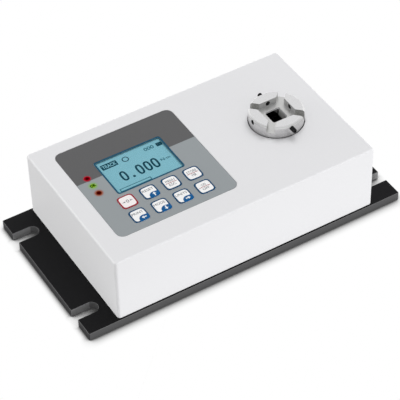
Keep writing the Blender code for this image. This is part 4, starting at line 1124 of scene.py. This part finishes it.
@dataclass
class Key:
    """One embossed key: a crowned cushion, a flange under the panel, and a plunger over its switch."""

    node: str
    length: float = 14.6
    depth: float = 15.0
    crown: float = 0.35
    rim: float = 0.15
    flange: float = 1.2
    flange_thickness: float = 1.0
    flange_drop: float = 3.3
    plunger: float = 2.5
    outline: float = 1.25
    patch: tuple[float, float] = (9.8, 6.2)
    patch_corner: float = 4.6
    patch_top: float = 1.6
    arrow_top: float = 2.8
    arrow_shift: float = 0.3
    word_low: float = 0.2
    digit: tuple[float, float] = (2.4, 3.6)
    digit_side: float = 0.9
    scales: tuple[float, ...] = (0.993, 0.975, 0.94, 0.89, 0.82, 0.7, 0.5, 0.25)
    outer_scale: float = 1.003
    word: tuple[float, float] = (10.4, 2.7)
    row_width: float = 9.36
    letter: float = 2.1
    word_place: tuple[float, float] = (-0.3, 2.6)
    rows: tuple[float, float] = (2.3, -2.5)
    line: float = 0.5
    ink: float = 0.03

    def __post_init__(self) -> None:
        """Takes the key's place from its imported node."""
        low, high = box_mm(self.node)
        self.low, self.top = low[2], high[2]
        self.centre = node_centre(self.node)
        self.print = KEYS[self.node]

    def crowned(self, shape: Shape) -> Shape:
        """Bends a flat shape over the crown, which falls with the fourth power of the cushion's radius.

        Args:
            shape: The shape, drawn round the origin.

        Returns:
            The bent shape, at the key's own level.
        """
        across = np.abs(shape.points[:, :2]) / np.array((self.length, self.depth)) * 2
        radius = (across ** 5).sum(axis=1) ** 0.2
        points = shape.points.copy()
        points[:, 2] += self.top - self.crown * np.minimum(radius, 1.0) ** 4
        return Shape(points, shape.quads, shape.flats)

    def cap(self) -> Shape:
        """The key's surface: rings up the plunger, the flange and the cushion, then in over the crown."""
        under = box_mm("housing")[1][2] - self.flange_drop
        pin = cushion(2 * self.plunger, 2 * self.plunger, exponent=2.0)
        wide = cushion(self.length + 2 * self.flange, self.depth + 2 * self.flange)
        whole = cushion(self.length, self.depth)
        steps = [(pin, self.low), (pin, under - self.flange_thickness), (wide, under - self.flange_thickness),
                 (wide, under), (whole, under), (whole, self.top - self.crown - self.rim)]
        steps += [(cushion(self.length, self.depth, scale), self.top - self.crown * scale ** 4)
                  for scale in self.scales]
        return lofted([at_level(outline, level) for outline, level in steps])

    def border(self) -> Shape:
        """The printed outline: the strip between two scales of the cushion, laid over the crown."""
        scales = np.linspace(self.outer_scale, 1 - 2 * self.outline / self.length, 6)
        both = [(scale, self.ink) for scale in scales] + [(scale, -self.ink) for scale in scales[::-1]]
        rings = [at_level(cushion(self.length, self.depth, scale), level) for scale, level in both]
        return self.crowned(lofted(rings, Ends.JOINED))

    def corner_patch(self) -> Shape:
        """The printed corner: straight lines from a rounded corner inside the key out to the key's edge."""
        right, front = self.length / 2, -self.depth / 2
        left, back = right - self.patch[0], front + self.patch[1]
        bend = arc((left + self.patch_corner, back - self.patch_corner), self.patch_corner, 90, 180, 14)
        inside = np.concatenate((((right * 0.99, back),), bend, ((left, front * 0.99),)))
        edge = np.arctan2(inside[:, 1] / self.depth, inside[:, 0] / self.length)
        edge = np.linspace(edge[0], edge[-1], len(inside))
        wave = np.stack((np.cos(edge), np.sin(edge)), axis=1)
        rim = np.abs(wave) ** 5
        key_side = wave / rim.sum(axis=1, keepdims=True) ** 0.2 * np.array((self.length, self.depth)) / 2
        key_side[0, 1], key_side[-1, 0] = back, left
        across = np.linspace(0, 1, 7)[:, None, None]
        grid = inside * (1 - across) + key_side * across
        top = np.concatenate((grid, np.full((*grid.shape[:2], 1), self.patch_top * self.ink)), axis=2)
        low = top - np.array((0, 0, (self.patch_top + 1) * self.ink))
        rings = [np.concatenate((upper, lower[::-1])) for upper, lower in zip(top, low)]
        return self.crowned(lofted(rings))

    def arrow_shape(self, way: Arrow) -> Shape:
        """An arrow 4.4 long in the printed corner, turned to point its way.

        Args:
            way: Which way it points.

        Returns:
            The arrow's shape.
        """
        outline = np.array(((2.2, 0), (0.2, 1.7), (0.2, 0.55), (-2.2, 0.55), (-2.2, -0.55), (0.2, -0.55),
                            (0.2, -1.7)))
        turn = Matrix.Rotation(math.radians(way.value), 3, "Z")
        turned = slab(outline, self.patch_top * self.ink, self.arrow_top * self.ink).turned(turn)
        return self.crowned(turned.moved((self.length - self.patch[0]) / 2,
                                         (self.patch[1] - self.depth) / 2 + self.arrow_shift))

    def words(self) -> tuple[Shape, Shape | None]:
        """The key's words, and the red line between two of them.

        Returns:
            The words as one shape, and the line where there are two words.
        """
        low = self.ink * self.word_low
        if self.print.zero:
            arrow = ((1.0, 0), (2.2, 0.9), (2.2, 0.2), (3.9, 0.2), (3.9, -0.2), (2.2, -0.2), (2.2, -0.9))
            arrows = [slab((np.array(arrow) * (side, 1))[::side], low, low + self.ink)
                      .moved(self.digit_side * side) for side in (-1, 1)]
            return self.crowned(joined([lettering("0", self.digit, low, self.ink), *arrows])), None
        width, height = self.word
        if len(self.print.words) == 1:
            word = lettering(self.print.words[0], self.word, low, self.ink)
            return self.crowned(word.moved(*self.word_place)), None
        rows = [lettering(word, (min(self.row_width, self.letter * len(word)), height), low, self.ink)
                .moved(0, shift) for word, shift in zip(self.print.words, self.rows)]
        side = np.array(((-1, 0), (1, 0), (1, 1), (-1, 1))) * (self.line / 2, self.ink) + (0, low)
        steps = np.linspace(-width / 2, width / 2, 25)
        line = lofted([np.column_stack((np.full(4, x), side)) for x in steps])
        return self.crowned(joined(rows)), self.crowned(line)

    def build(self) -> None:
        """Builds the key and its print, all on the key's own body."""
        ink, film = (RED_INK, ZERO_FILM) if self.print.zero else (NAVY_INK, KEY_FILM)
        words, line = self.words()
        cap = add_piece(f"{self.node}_cap", self.cap().moved(*self.centre), film, self.print.body)
        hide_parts(self.node)
        prints = [("outline", self.border(), ink), ("words", words, GREY_INK)]
        if line:
            prints.append(("line", line, RED_INK))
        if self.print.arrow:
            prints += [("corner", self.corner_patch(), BLUE_INK),
                       ("arrow", self.arrow_shape(self.print.arrow), WHITE_INK)]
        for name, shape, finish in prints:
            add_piece(f"{self.node}_{name}", shape.moved(*self.centre), finish, self.print.body)


@dataclass
class Lamp:
    """One signal lamp: a flanged lens with a low crown and a dark symbol on it."""

    node: str
    lens: Finish
    symbol: Finish
    halo: LitFilm
    radius: float = 2.8
    flange: float = 0.5
    flange_thickness: float = 1.0
    crown: float = 0.3
    gap: float = 0.02
    ink: float = 0.02
    sunk: float = 0.12
    word: tuple[float, float] = (5.0, 3.2)
    word_weight: float = 0.045
    triangle: tuple[tuple[float, float], ...] = ((-1.5, -1.1), (1.5, -1.1), (0.0, 1.5))

    def build(self) -> None:
        """Builds the lens, the light that spills round it, and its symbol: a triangle, or the word OK."""
        low, high = box_mm(self.node)
        middle, top = node_centre(self.node), high[2]
        foot = low[2] + self.flange_thickness
        wide = self.radius + self.flange
        profile = [(wide, low[2]), (wide, foot), (self.radius, foot)]
        profile += [(self.radius * part, top - self.crown * part ** 2) for part in np.linspace(1, 0.05, 9)]
        lens = add_piece(f"{self.node}_lens", turned_profile(profile, 48).moved(*middle), self.lens)
        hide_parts(self.node)
        halo = band(circle(self.halo.reach_mm), circle(self.radius + self.gap), self.ink, 2 * self.ink)
        add_piece(f"{self.node}_halo", halo.moved(*middle, box_mm("keypad_overlay")[1][2]), self.halo)
        if self.node == "led_ok":
            mark = lettering("OK", self.word, top - self.sunk, self.sunk + self.ink, self.word_weight)
        else:
            up = 1 if self.node == "led_high" else -1
            mark = slab(np.array(self.triangle) * (1, up), top - self.sunk, top + self.ink)
        add_piece(f"{self.node}_symbol", mark.moved(*middle), self.symbol)


@dataclass(frozen=True)
class Patch:
    """A plain darkened patch of the display: its sizes, its corner radius, its steps and its centre."""

    length: float
    depth: float
    corner: float
    steps: int
    centre: tuple[float, float]

    def shape(self, level: float, ink: float) -> Shape:
        """The patch as a thin slab at a level."""
        outline = rounded_rectangle(self.length, self.depth, self.corner, self.steps)
        return slab(outline, level, level + ink).moved(*self.centre)


@dataclass
class Display:
    """What the liquid crystal shows: the reading, its unit, the bar, and the signs along the top."""

    rim: tuple[float, float, float] = (66.0, 46.0, 2.0)
    face: tuple[float, float, float] = (61.0, 41.0, 0.5)
    rim_levels: tuple[float, float] = (0.01, 0.08)
    digit_width: float = 6.2
    digit_height: float = 12.2
    digit_exponent: float = 2.6
    digits: tuple[float, ...] = (-67.4, -52.3, -44.8, -37.6)
    digit_row: float = 10.1
    stroke: float = 1.8
    point: Patch = Patch(2.3, 2.3, 0.5, 4, (-60.3, 5.4))
    word_box: Patch = Patch(15.0, 6.4, 0.5, 4, (-71.8, 27.9))
    word: tuple[float, float] = (12.8, 4.0)
    battery: tuple[Patch, ...] = (Patch(5.4, 4.4, 0.4, 4, (-23.4, 28.4)),
                                  Patch(0.9, 1.8, 0.2, 3, (-20.2, 28.4)))
    dial: tuple[float, float] = (3.1, 2.2)
    dial_centre: tuple[float, float] = (-56.7, 27.2)
    unit: tuple[float, float] = (8.8, 3.0)
    unit_centre: tuple[float, float] = (-27.7, 10.4)
    count: tuple[float, float] = (9.2, 4.2)
    count_centre: tuple[float, float] = (-33.3, 28.6)
    bar: tuple[float, float, float] = (29.5, 3.6, 0.7)
    bar_centre: tuple[float, float] = (-64.2, -3.8)
    bar_fill: Patch = Patch(26.0, 1.1, 0.3, 3, (-66.0, -6.2))
    weight: float = 0.02
    ink: float = 0.02

    def build(self) -> None:
        """Builds the rim of the crystal and everything it shows.

        A nought is the band between two cushions whose exponent lies between an ellipse and a stadium.
        """
        level, ink = box_mm("lcd_glass")[1][2], self.ink
        layer = (level, level + ink)
        rim = band(rounded_rectangle(*self.rim), rounded_rectangle(*self.face), level + self.rim_levels[0],
                   level + self.rim_levels[1])
        add_piece("crystal_rim", rim.moved(*node_centre("lcd_glass")), CRYSTAL)
        outer, inner = (cushion(self.digit_width - cut, self.digit_height - cut, exponent=self.digit_exponent)
                        for cut in (0.0, 2 * self.stroke))
        reading = [band(outer, inner, *layer).moved(x, self.digit_row) for x in self.digits]
        add_piece("display_reading", joined([*reading, self.point.shape(level, ink)]), SEGMENT)
        signs = [patch.shape(level, ink) for patch in (self.word_box, *self.battery)]
        signs.append(band(*(circle(radius) for radius in self.dial), *layer).moved(*self.dial_centre))
        add_piece("display_signs", joined(signs), SEGMENT)
        length, depth, line = self.bar
        frame_strip = band(rounded_rectangle(length, depth, 0.5, 4),
                           rounded_rectangle(length - 2 * line, depth - 2 * line, 0.2, 4), *layer)
        faint = [lettering("N·m", self.unit, level, ink, self.weight).moved(*self.unit_centre),
                 lettering("000", self.count, level, ink, self.weight).moved(*self.count_centre),
                 frame_strip.moved(*self.bar_centre), self.bar_fill.shape(level, ink)]
        add_piece("display_faint_signs", joined(faint), FAINT_SEGMENT)
        word = lettering("TRACK", self.word, level + ink, ink, self.weight)
        add_piece("display_track_word", word.moved(*self.word_box.centre), CRYSTAL)


@dataclass
class AdapterRing:
    """The polished ring: a square pocket, four diagonal slots between its jaws, and a square drive hole."""

    radius: float = 24.0
    chamfer: float = 1.4
    pocket: float = 26.6
    pocket_depth: float = 6.2
    slot: float = 7.0
    drive: float = 13.2
    drive_chamfer: float = 0.8
    drive_corner: float = 1.5
    drive_rise: float = 0.3
    drill_radius: float = 2.15
    edge: float = 0.22
    near: float = 0.05
    wall_margin: float = 0.2
    steep: float = 0.5
    upright: float = 0.3
    square_on: float = 0.9
    floor_margin: float = 0.1
    rim_margin: float = 0.1
    jaw_margin: float = 0.5

    def __post_init__(self) -> None:
        """Takes the ring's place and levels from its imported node."""
        low, high = box_mm("adapter_ring")
        self.low, self.top = low[2], high[2]
        self.centre = node_centre("adapter_ring")
        self.floor = self.top - self.pocket_depth

    def rim(self, radius: float) -> np.ndarray:
        """The rim's circle, with points exactly where the slots' walls will cut it."""
        half = math.degrees(math.asin(self.slot / 2 / radius))
        return np.concatenate([arc((0, 0), radius, turn - 45 + start, turn - 45 + end, steps)[:-1]
                               for turn in range(0, 360, 90)
                               for start, end, steps in ((half, 90 - half, 56), (90 - half, 90 + half, 12))])

    def cross(self) -> Shape:
        """The square pocket and the four slots from its corners out past the rim."""
        half = self.pocket / 2
        shoulder = half - self.slot / math.sqrt(2)
        side = np.array(((half, shoulder), (half + self.radius, shoulder + self.radius),
                         (shoulder + self.radius, half + self.radius), (shoulder, half)))
        turns = [side @ np.array(Matrix.Rotation(math.radians(-90 * i), 2)) for i in range(4)]
        return slab(np.concatenate(turns), self.floor, self.top + 1)

    def drive_hole(self) -> Shape:
        """The square hole with broached corners and a chamfered mouth."""
        rise = self.drive_rise
        sizes = ((self.drive, self.low - 1), (self.drive, self.floor - self.drive_chamfer),
                 (self.drive + 2 * (self.drive_chamfer + rise), self.floor + rise))
        return lofted([at_level(rounded_rectangle(size, size, self.drive_corner, 6), level)
                       for size, level in sizes])

    def build(self, clamp_level: float) -> None:
        """Turns the blank, mills the pocket, softens its edges and drills it for the clamp screws.

        Args:
            clamp_level: The height of the clamp screws' axes.
        """
        blank = lofted([at_level(self.rim(radius), level) for radius, level in
                        ((self.radius, self.low), (self.radius, self.top - self.chamfer),
                         (self.radius - self.chamfer, self.top))])
        ring = add_piece("polished_adapter_ring", blank.moved(*self.centre), POLISHED)
        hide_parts("adapter_ring")
        carve(ring, [self.cross().moved(*self.centre), self.drive_hole().moved(*self.centre)])
        soften(ring, self.edge)
        drill = slab(circle(self.drill_radius, 32), -self.radius - 2, self.radius + 2)
        carve(ring, [drill.turned(Matrix.Rotation(math.radians(90), 3, axis))
                     .moved(*self.centre, clamp_level) for axis in "XY"])
        self.dress_faces(ring)

    def dress_faces(self, ring: Piece) -> None:
        """Gives each of the ring's surfaces what its own tool left on it, with painted light on the drive
        hole's walls across X and a painted highlight on the filed edge.

        Args:
            ring: The finished ring.
        """
        places, normals = face_places(ring)
        height, rise = places[:, 2], normals[:, 2]
        places = np.abs(places[:, :2] - self.centre)
        away, side = np.linalg.norm(places, axis=1), places.max(axis=1)
        outside = (away > self.radius - self.wall_margin) & (height < self.top - self.chamfer)
        in_hole = (side < self.drive / 2 + self.wall_margin) & (rise < self.steep)
        ground = (np.abs(side - self.pocket / 2) < self.near) & (rise < self.upright)
        floor = (np.abs(height - self.floor) < self.floor_margin) & (rise > self.steep)
        diagonal = (np.abs(normals[:, 0] - normals[:, 1]) < self.near) & (rise < self.steep)
        broken = ((away > self.radius - self.chamfer - self.rim_margin)
                  & (height > self.floor + self.jaw_margin))
        # Painted light: the drive hole's walls across X and the filed edge are paler than the steel round
        # them.
        finish_faces(ring, ((outside, TURNED_WALL), (in_hole & (normals[:, 0] > self.square_on), BROACHED_PAINTED_LIGHT),
                            (in_hole, POLISHED), (ground, GROUND_WALL), (floor, BLASTED), (diagonal, MILLED),
                            (broken, FILED_EDGE_PAINTED_HIGHLIGHT)), POLISHED)


@dataclass
class ClampScrew:
    """A socket set screw with its thread, which lies in the ring's wall and points at the axis."""

    node: str
    body: str
    turn: float
    radius: float = 2.0
    pitch: float = 0.7
    thread: float = 0.32
    sharpness: float = 0.8
    chamfer: float = 0.4
    socket: float = 2.0
    socket_depth: float = 1.8
    socket_chamfer: float = 0.12
    steps: int = 48
    rows_a_pitch: int = 10

    def build(self) -> None:
        """Carries the thread's radius along the screw, and opens its outer end as a hexagon.

        The radius is the screw's own, less a wave that goes round once a pitch, and never more than a
        cone at either end.
        """
        low, high = box_mm(self.node)
        length = (high - low)[0 if self.turn % 180 == 0 else 1]
        angles = 2 * np.pi * np.arange(self.steps) / self.steps
        reach = np.linspace(0, length, int(length / self.pitch * self.rows_a_pitch))[:, None]
        wave = 0.5 - 0.5 * np.cos(2 * np.pi * (reach / self.pitch - angles[None, :] / (2 * np.pi)))
        cone = self.radius - self.chamfer + np.minimum(reach, length - reach)
        radius = np.minimum(self.radius - self.thread * wave ** self.sharpness, cone)
        skin = np.stack((radius * np.cos(angles), radius * np.sin(angles),
                         np.broadcast_to(-reach, radius.shape)), axis=2)
        mouth = socket_outline(self.socket, self.steps)
        rings = [at_level(mouth, -self.socket_depth), at_level(mouth, -self.socket_chamfer),
                 at_level(mouth * 1.1, 0.0), *skin]
        turn = math.radians(self.turn)
        spin = Matrix.Rotation(turn, 3, "Z") @ Matrix.Rotation(math.radians(90), 3, "Y")
        centre, way = node_centre("adapter_ring"), np.array((math.cos(turn), math.sin(turn)))
        x, y = centre + way * (np.array((high[:2] - centre, low[:2] - centre)) @ way).max()
        screw = add_piece(f"{self.node}_threaded", lofted(rings).turned(spin)
                          .moved(x, y, (low[2] + high[2]) / 2), BLACK_OXIDE, self.body)
        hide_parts(self.node)


@dataclass
class FlushScrew:
    """A countersunk socket screw seen from below, its head just inside the plate."""

    node: str
    cone: float = 2.0
    edge: float = 0.15
    socket: float = 0.75
    socket_depth: float = 0.7
    steps: int = 48

    def build(self) -> None:
        """Builds the socket, the head's cone and the shank as rings from the socket's floor outwards."""
        low, high = box_mm(self.node)
        head, foot = (high[0] - low[0]) / 2, low[2]
        shank = head - self.cone
        mouth = socket_outline(head * self.socket, self.steps)
        profile = ((head - self.edge, foot), (head, foot + self.edge), (shank, foot + self.cone),
                   (shank, high[2]))
        rings = [at_level(mouth, foot + self.cone * self.socket_depth), at_level(mouth, foot)]
        rings += [at_level(circle(radius, self.steps), level) for radius, level in profile]
        screw = add_piece(f"{self.node}_socket", lofted(rings).moved(*node_centre(self.node)), ZINC)
        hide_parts(self.node)


@dataclass
class BackPorts:
    """The contacts inside the two ports in the back wall."""

    contact_length: float = 6.5
    contact_width: float = 1.0
    contact_spacing: float = 2.4
    contact_thickness: float = 0.05
    contact_inset: float = 0.5
    tongue_height: float = 3.2
    pin_profile: tuple[tuple[float, float], ...] = ((0.62, 0.0), (0.62, 0.12), (0.62 * 0.6, 0.25))

    def build(self) -> None:
        """Builds four gold contacts on the signal port's tongue, and the power jack's pin tip."""
        low, high = box_mm("usb_port")
        middle, thick = (low + high) / 2, self.contact_thickness
        strip = slab(rounded_rectangle(self.contact_width, self.contact_length, 0.2, 3), 0.0, thick)
        contacts = [strip.moved(middle[0] + side * self.contact_spacing / 2,
                                high[1] - self.contact_length / 2 - self.contact_inset,
                                middle[2] + face * self.tongue_height / 2 - (thick if face < 0 else 0.0))
                    for side in (-1, 1) for face in (-1, 1)]
        add_piece("port_contacts", joined(contacts), GOLD_FLASH)
        low, high = box_mm("power_jack")
        tip = turned_profile(self.pin_profile, 32).turned(Matrix.Rotation(math.radians(-90), 3, "X"))
        add_piece("jack_pin_tip", tip.moved((low[0] + high[0]) / 2, high[1], (low[2] + high[2]) / 2), ZINC)


def dress_nodes() -> None:
    """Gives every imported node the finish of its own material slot."""
    for part in frame["record"]["subparts"]:
        node = frame["nodes"][part["node"]]
        material = material_of(NODE_FINISHES[part["material_slot"]])
        for slot in node.material_slots:
            slot.material = material
    log.info("dressed %d packed nodes", len(frame["nodes"]))


@dataclass(frozen=True)
class SoftLamp:
    """A wide soft lamp: the way it lies in, and what it gives a white face that meets it squarely."""

    name: str
    way: tuple[float, float, float]
    level: float
    tint: tuple[float, float, float] = (1.0, 1.0, 1.0)
    distance: float = 4.0
    width: float = 4.0
    height: float = 0.24

    def build(self) -> None:
        """Adds the lamp, whose power is its level times pi squared times its distance squared.

        Mirrors don't see it, so that it leaves no square in the polished metal.
        """
        way = np.array(self.way) / np.linalg.norm(self.way)
        data = bpy.data.lights.new(self.name, "AREA")
        data.shape, data.size, data.size_y = "RECTANGLE", self.width, self.height
        data.energy = self.level * math.pi ** 2 * self.distance ** 2
        data.color = self.tint
        right = np.cross((0, 0, 1), way)
        lamp = aim(linked(self.name, data), right / np.linalg.norm(right), way, way * self.distance)
        lamp.visible_glossy = False


def aim(thing: Piece, right: np.ndarray, back: np.ndarray, place: Sequence[float]) -> Piece:
    """Places a lamp or a camera by its own right and back directions.

    Args:
        thing: The lamp or camera, which looks away from its back.
        right: Where its X axis points.
        back: Where its Z axis points.
        place: Where it stands, in metres.

    Returns:
        The same object.
    """
    turn = Matrix(np.stack((right, np.cross(back, right), back), axis=1).tolist()).to_4x4()
    thing.matrix_world = Matrix.Translation(tuple(place)) @ turn
    return thing


@dataclass
class Studio:
    """The white floor, the even sky, the lamps and the camera at the photograph's place.

    Sizes are in millimetres but for the floor's side, which is in metres. A pair of distances runs from
    where a change starts to where it ends.
    """

    camera_mm: tuple[float, float, float] = (-579.9, -990.5, 1132.7)
    azimuth: float = 30.294
    elevation: float = 44.202
    roll: float = -1.555
    lens: float = 167.98
    sensor: float = 36.0
    shift: tuple[float, float] = (-0.00025, -0.00125)
    clip: tuple[float, float] = (0.05, 100.0)
    sky: float = 0.45
    mirrored_way: tuple[float, float, float] = (0.50, 0.86, 0.0)
    mirrored_side: float = 0.34
    mirrored_back: tuple[float, float, float] = (0.30, 0.55, 1.0)
    mirrored_front: tuple[float, float, float] = (-0.42, -0.64, 0.75)
    floor_size: float = 40.0
    floor_drop: float = 0.05
    shadow_front: tuple[float, float] = (-70.0, -80.0)
    shadow_reach: tuple[float, float] = (6.3, 10.3)
    slot_middle: float = 52.0
    slot_side: tuple[float, float] = (6.0, 12.0)
    slot_run: tuple[float, float] = (133.0, 153.0)
    slot_mouth: tuple[float, float] = (153.0, 163.0)
    slot_reach: tuple[float, float] = (8.5, 17.0)
    sky_left: float = 0.5
    shadow_power: float = 1.6
    shadow_level: float = 0.05
    card_front: tuple[float, float] = (-78.0, -84.0)
    card_left: tuple[float, float] = (-290.0, -190.0)
    card_level: float = 0.6
    paper_level: float = 0.03
    lamps: tuple[SoftLamp, ...] = (SoftLamp("overhead_lamp", (0.3, 0.25, 0.92), 0.50, height=2.8, width=2.8),
                                   SoftLamp("front_lamp", (0.35, -0.935, 0.04), 0.58),
                                   SoftLamp("left_lamp", (-0.8, 0.6, 0.04), 0.66, (1.0, 1.0, 0.985)))

    def camera(self) -> None:
        """Places the camera by its measured position, heading, tilt and roll."""
        az, el, roll = (math.radians(value) for value in (self.azimuth, self.elevation, self.roll))
        ahead = np.array((math.cos(el) * math.sin(az), math.cos(el) * math.cos(az), -math.sin(el)))
        right = np.cross(ahead, (0, 0, 1))
        right /= np.linalg.norm(right)
        right = right * math.cos(roll) + np.cross(right, ahead) * math.sin(roll)
        data = bpy.data.cameras.new("camera")
        data.lens, data.sensor_width = self.lens, self.sensor
        data.shift_x, data.shift_y = self.shift
        data.clip_start, data.clip_end = self.clip
        bpy.context.scene.camera = aim(linked("camera", data), right, -ahead, metres(*self.camera_mm))

    def seen(self, tree: Tree) -> Node:
        """One where a ray comes from the camera or through glass, and nought for other light."""
        path = add_node(tree, "LightPath").outputs
        return add_node(tree, "Math", (path["Is Camera Ray"], path["Is Transmission Ray"]),
                        operation="MAXIMUM")

    def world(self) -> None:
        """An even sky, white to the camera. Metal sees it bright behind and before, and dim at the sides."""
        world = bpy.data.worlds.new("studio")
        world.use_nodes = True
        bpy.context.scene.world = world
        world.node_tree.nodes.clear()
        add = partial(add_node, world.node_tree)
        way = add("TexCoord").outputs["Generated"]
        back = add("VectorMath", (way, self.mirrored_way), operation="DOT_PRODUCT")
        ends = [add("MapRange", (back, near, far, self.mirrored_side, level), interpolation_type="SMOOTHSTEP")
                for near, far, level in (self.mirrored_back, self.mirrored_front)]
        shade = add("Math", ends, operation="MAXIMUM")
        glossy = add("LightPath").outputs["Is Glossy Ray"]
        even = add("Mix", {"Factor": glossy, "A": self.sky, "B": shade}, data_type="FLOAT")
        level = add("Mix", {"Factor": self.seen(world.node_tree), "A": even, "B": 1.0}, data_type="FLOAT")
        add("OutputWorld", {"Surface": add("Background", (WHITE, level))})

    def shadow(self, add: Callable[..., Node], x: Socket, y: Socket) -> Node:
        """The floor's brightness under the object's shadow.

        The shadow is the part of the sky that the object hides within the reach, raised to a power. It
        reaches further in front and in the plate's slots than at the sides.

        Args:
            add: Adds a node to the floor's tree.
            x: The place along X, in metres.
            y: The place along Y, in metres.

        Returns:
            The node whose value is one in the open and the shadow's level under the plate.
        """
        along, across = (add("Math", (side,), operation="ABSOLUTE") for side in (x, y))
        reach = add("MapRange", (y, *metres(*self.shadow_front, *self.shadow_reach)))
        off = add("Math", (across, self.slot_middle * MM), operation="SUBTRACT")
        off = add("Math", (off,), operation="ABSOLUTE")
        slot = add("MapRange", (off, *metres(*self.slot_side), 1.0, 0.0), interpolation_type="SMOOTHSTEP")
        for part in (metres(*self.slot_run, *self.slot_reach), (*metres(*self.slot_mouth), 1.0, 0.0)):
            slot = add("Math", (slot, add("MapRange", (along, *part))), operation="MULTIPLY")
        reach = add("Math", (reach, slot), operation="MAXIMUM")
        sky = add("AmbientOcclusion", {"Distance": reach}, samples=16).outputs["AO"]
        hidden = add("MapRange", (sky, 1.0, self.sky_left, 0.0, 1.0))
        dark = add("Math", (hidden, self.shadow_power), operation="POWER")
        return add("MapRange", (dark, 0.0, 1.0, 1.0, self.shadow_level))

    def floor(self) -> None:
        """A floor that is white to the camera and in mirrors, and keeps the shadow at the object's foot.

        To diffuse light it is a bright card before the object and dark paper elsewhere.
        """
        half, level = self.floor_size / 2, -self.floor_drop * MM
        mesh = bpy.data.meshes.new("floor")
        corners = [(-half, -half, level), (half, -half, level), (half, half, level), (-half, half, level)]
        mesh.from_pydata(corners, [], [(0, 1, 2, 3)])
        floor = linked("floor", mesh)
        material = bpy.data.materials.new("white_paper_floor")
        material.use_nodes = True
        material.node_tree.nodes.clear()
        add = partial(add_node, material.node_tree)
        plan = add("SeparateXYZ", (add("TexCoord").outputs["Object"],)).outputs
        white = add("Emission", (WHITE, self.shadow(add, plan["X"], plan["Y"])))
        before = add("MapRange", (plan["Y"], *metres(*self.card_front), 0.0, 1.0))
        beside = add("MapRange", (plan["X"], *metres(*self.card_left), 0.0, 1.0))
        card = add("Math", (before, beside), operation="MULTIPLY")
        paper = add("Emission", (WHITE, add("MapRange", (card, 0.0, 1.0, self.paper_level, self.card_level))))
        glossy = add("LightPath").outputs["Is Glossy Ray"]
        either = add("Math", (self.seen(material.node_tree), glossy), operation="MAXIMUM")
        add("OutputMaterial", {"Surface": add("MixShader", (either, paper, white))})
        material.cycles.emission_sampling = "NONE"
        mesh.materials.append(material)

    def build(self) -> None:
        """Sets the whole studio and the plain view transform."""
        self.camera()
        self.world()
        self.floor()
        for lamp in self.lamps:
            lamp.build()
        bpy.context.scene.view_settings.view_transform = "Standard"
        log.info("studio set")


def main() -> None:
    """Builds the studio and every piece."""
    logging.basicConfig(level=logging.INFO, format="%(name)s %(message)s")
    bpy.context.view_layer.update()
    Studio().build()
    dress_nodes()
    screws = [f"{kind}_{number}" for kind in ("housing_screw", "sensor_screw") for number in range(1, 5)]
    BasePlate().build(screws)
    panel, ring = Panel(), AdapterRing()
    Housing().build(panel, ring.radius)
    panel.build()
    for node in KEYS:
        Key(node).build()
    for node, finishes in LAMPS.items():
        Lamp(node, *finishes).build()
    Display().build()
    low, high = box_mm("clamp_screw_front")
    ring.build((low[2] + high[2]) / 2)
    for side, turn in (("right", 0.0), ("back", 90.0), ("left", 180.0), ("front", 270.0)):
        ClampScrew(f"clamp_screw_{side}", f"{side}_clamp", turn).build()
    for screw in screws:
        FlushScrew(screw).build()
    BackPorts().build()


if __name__ == "__main__":
    main()
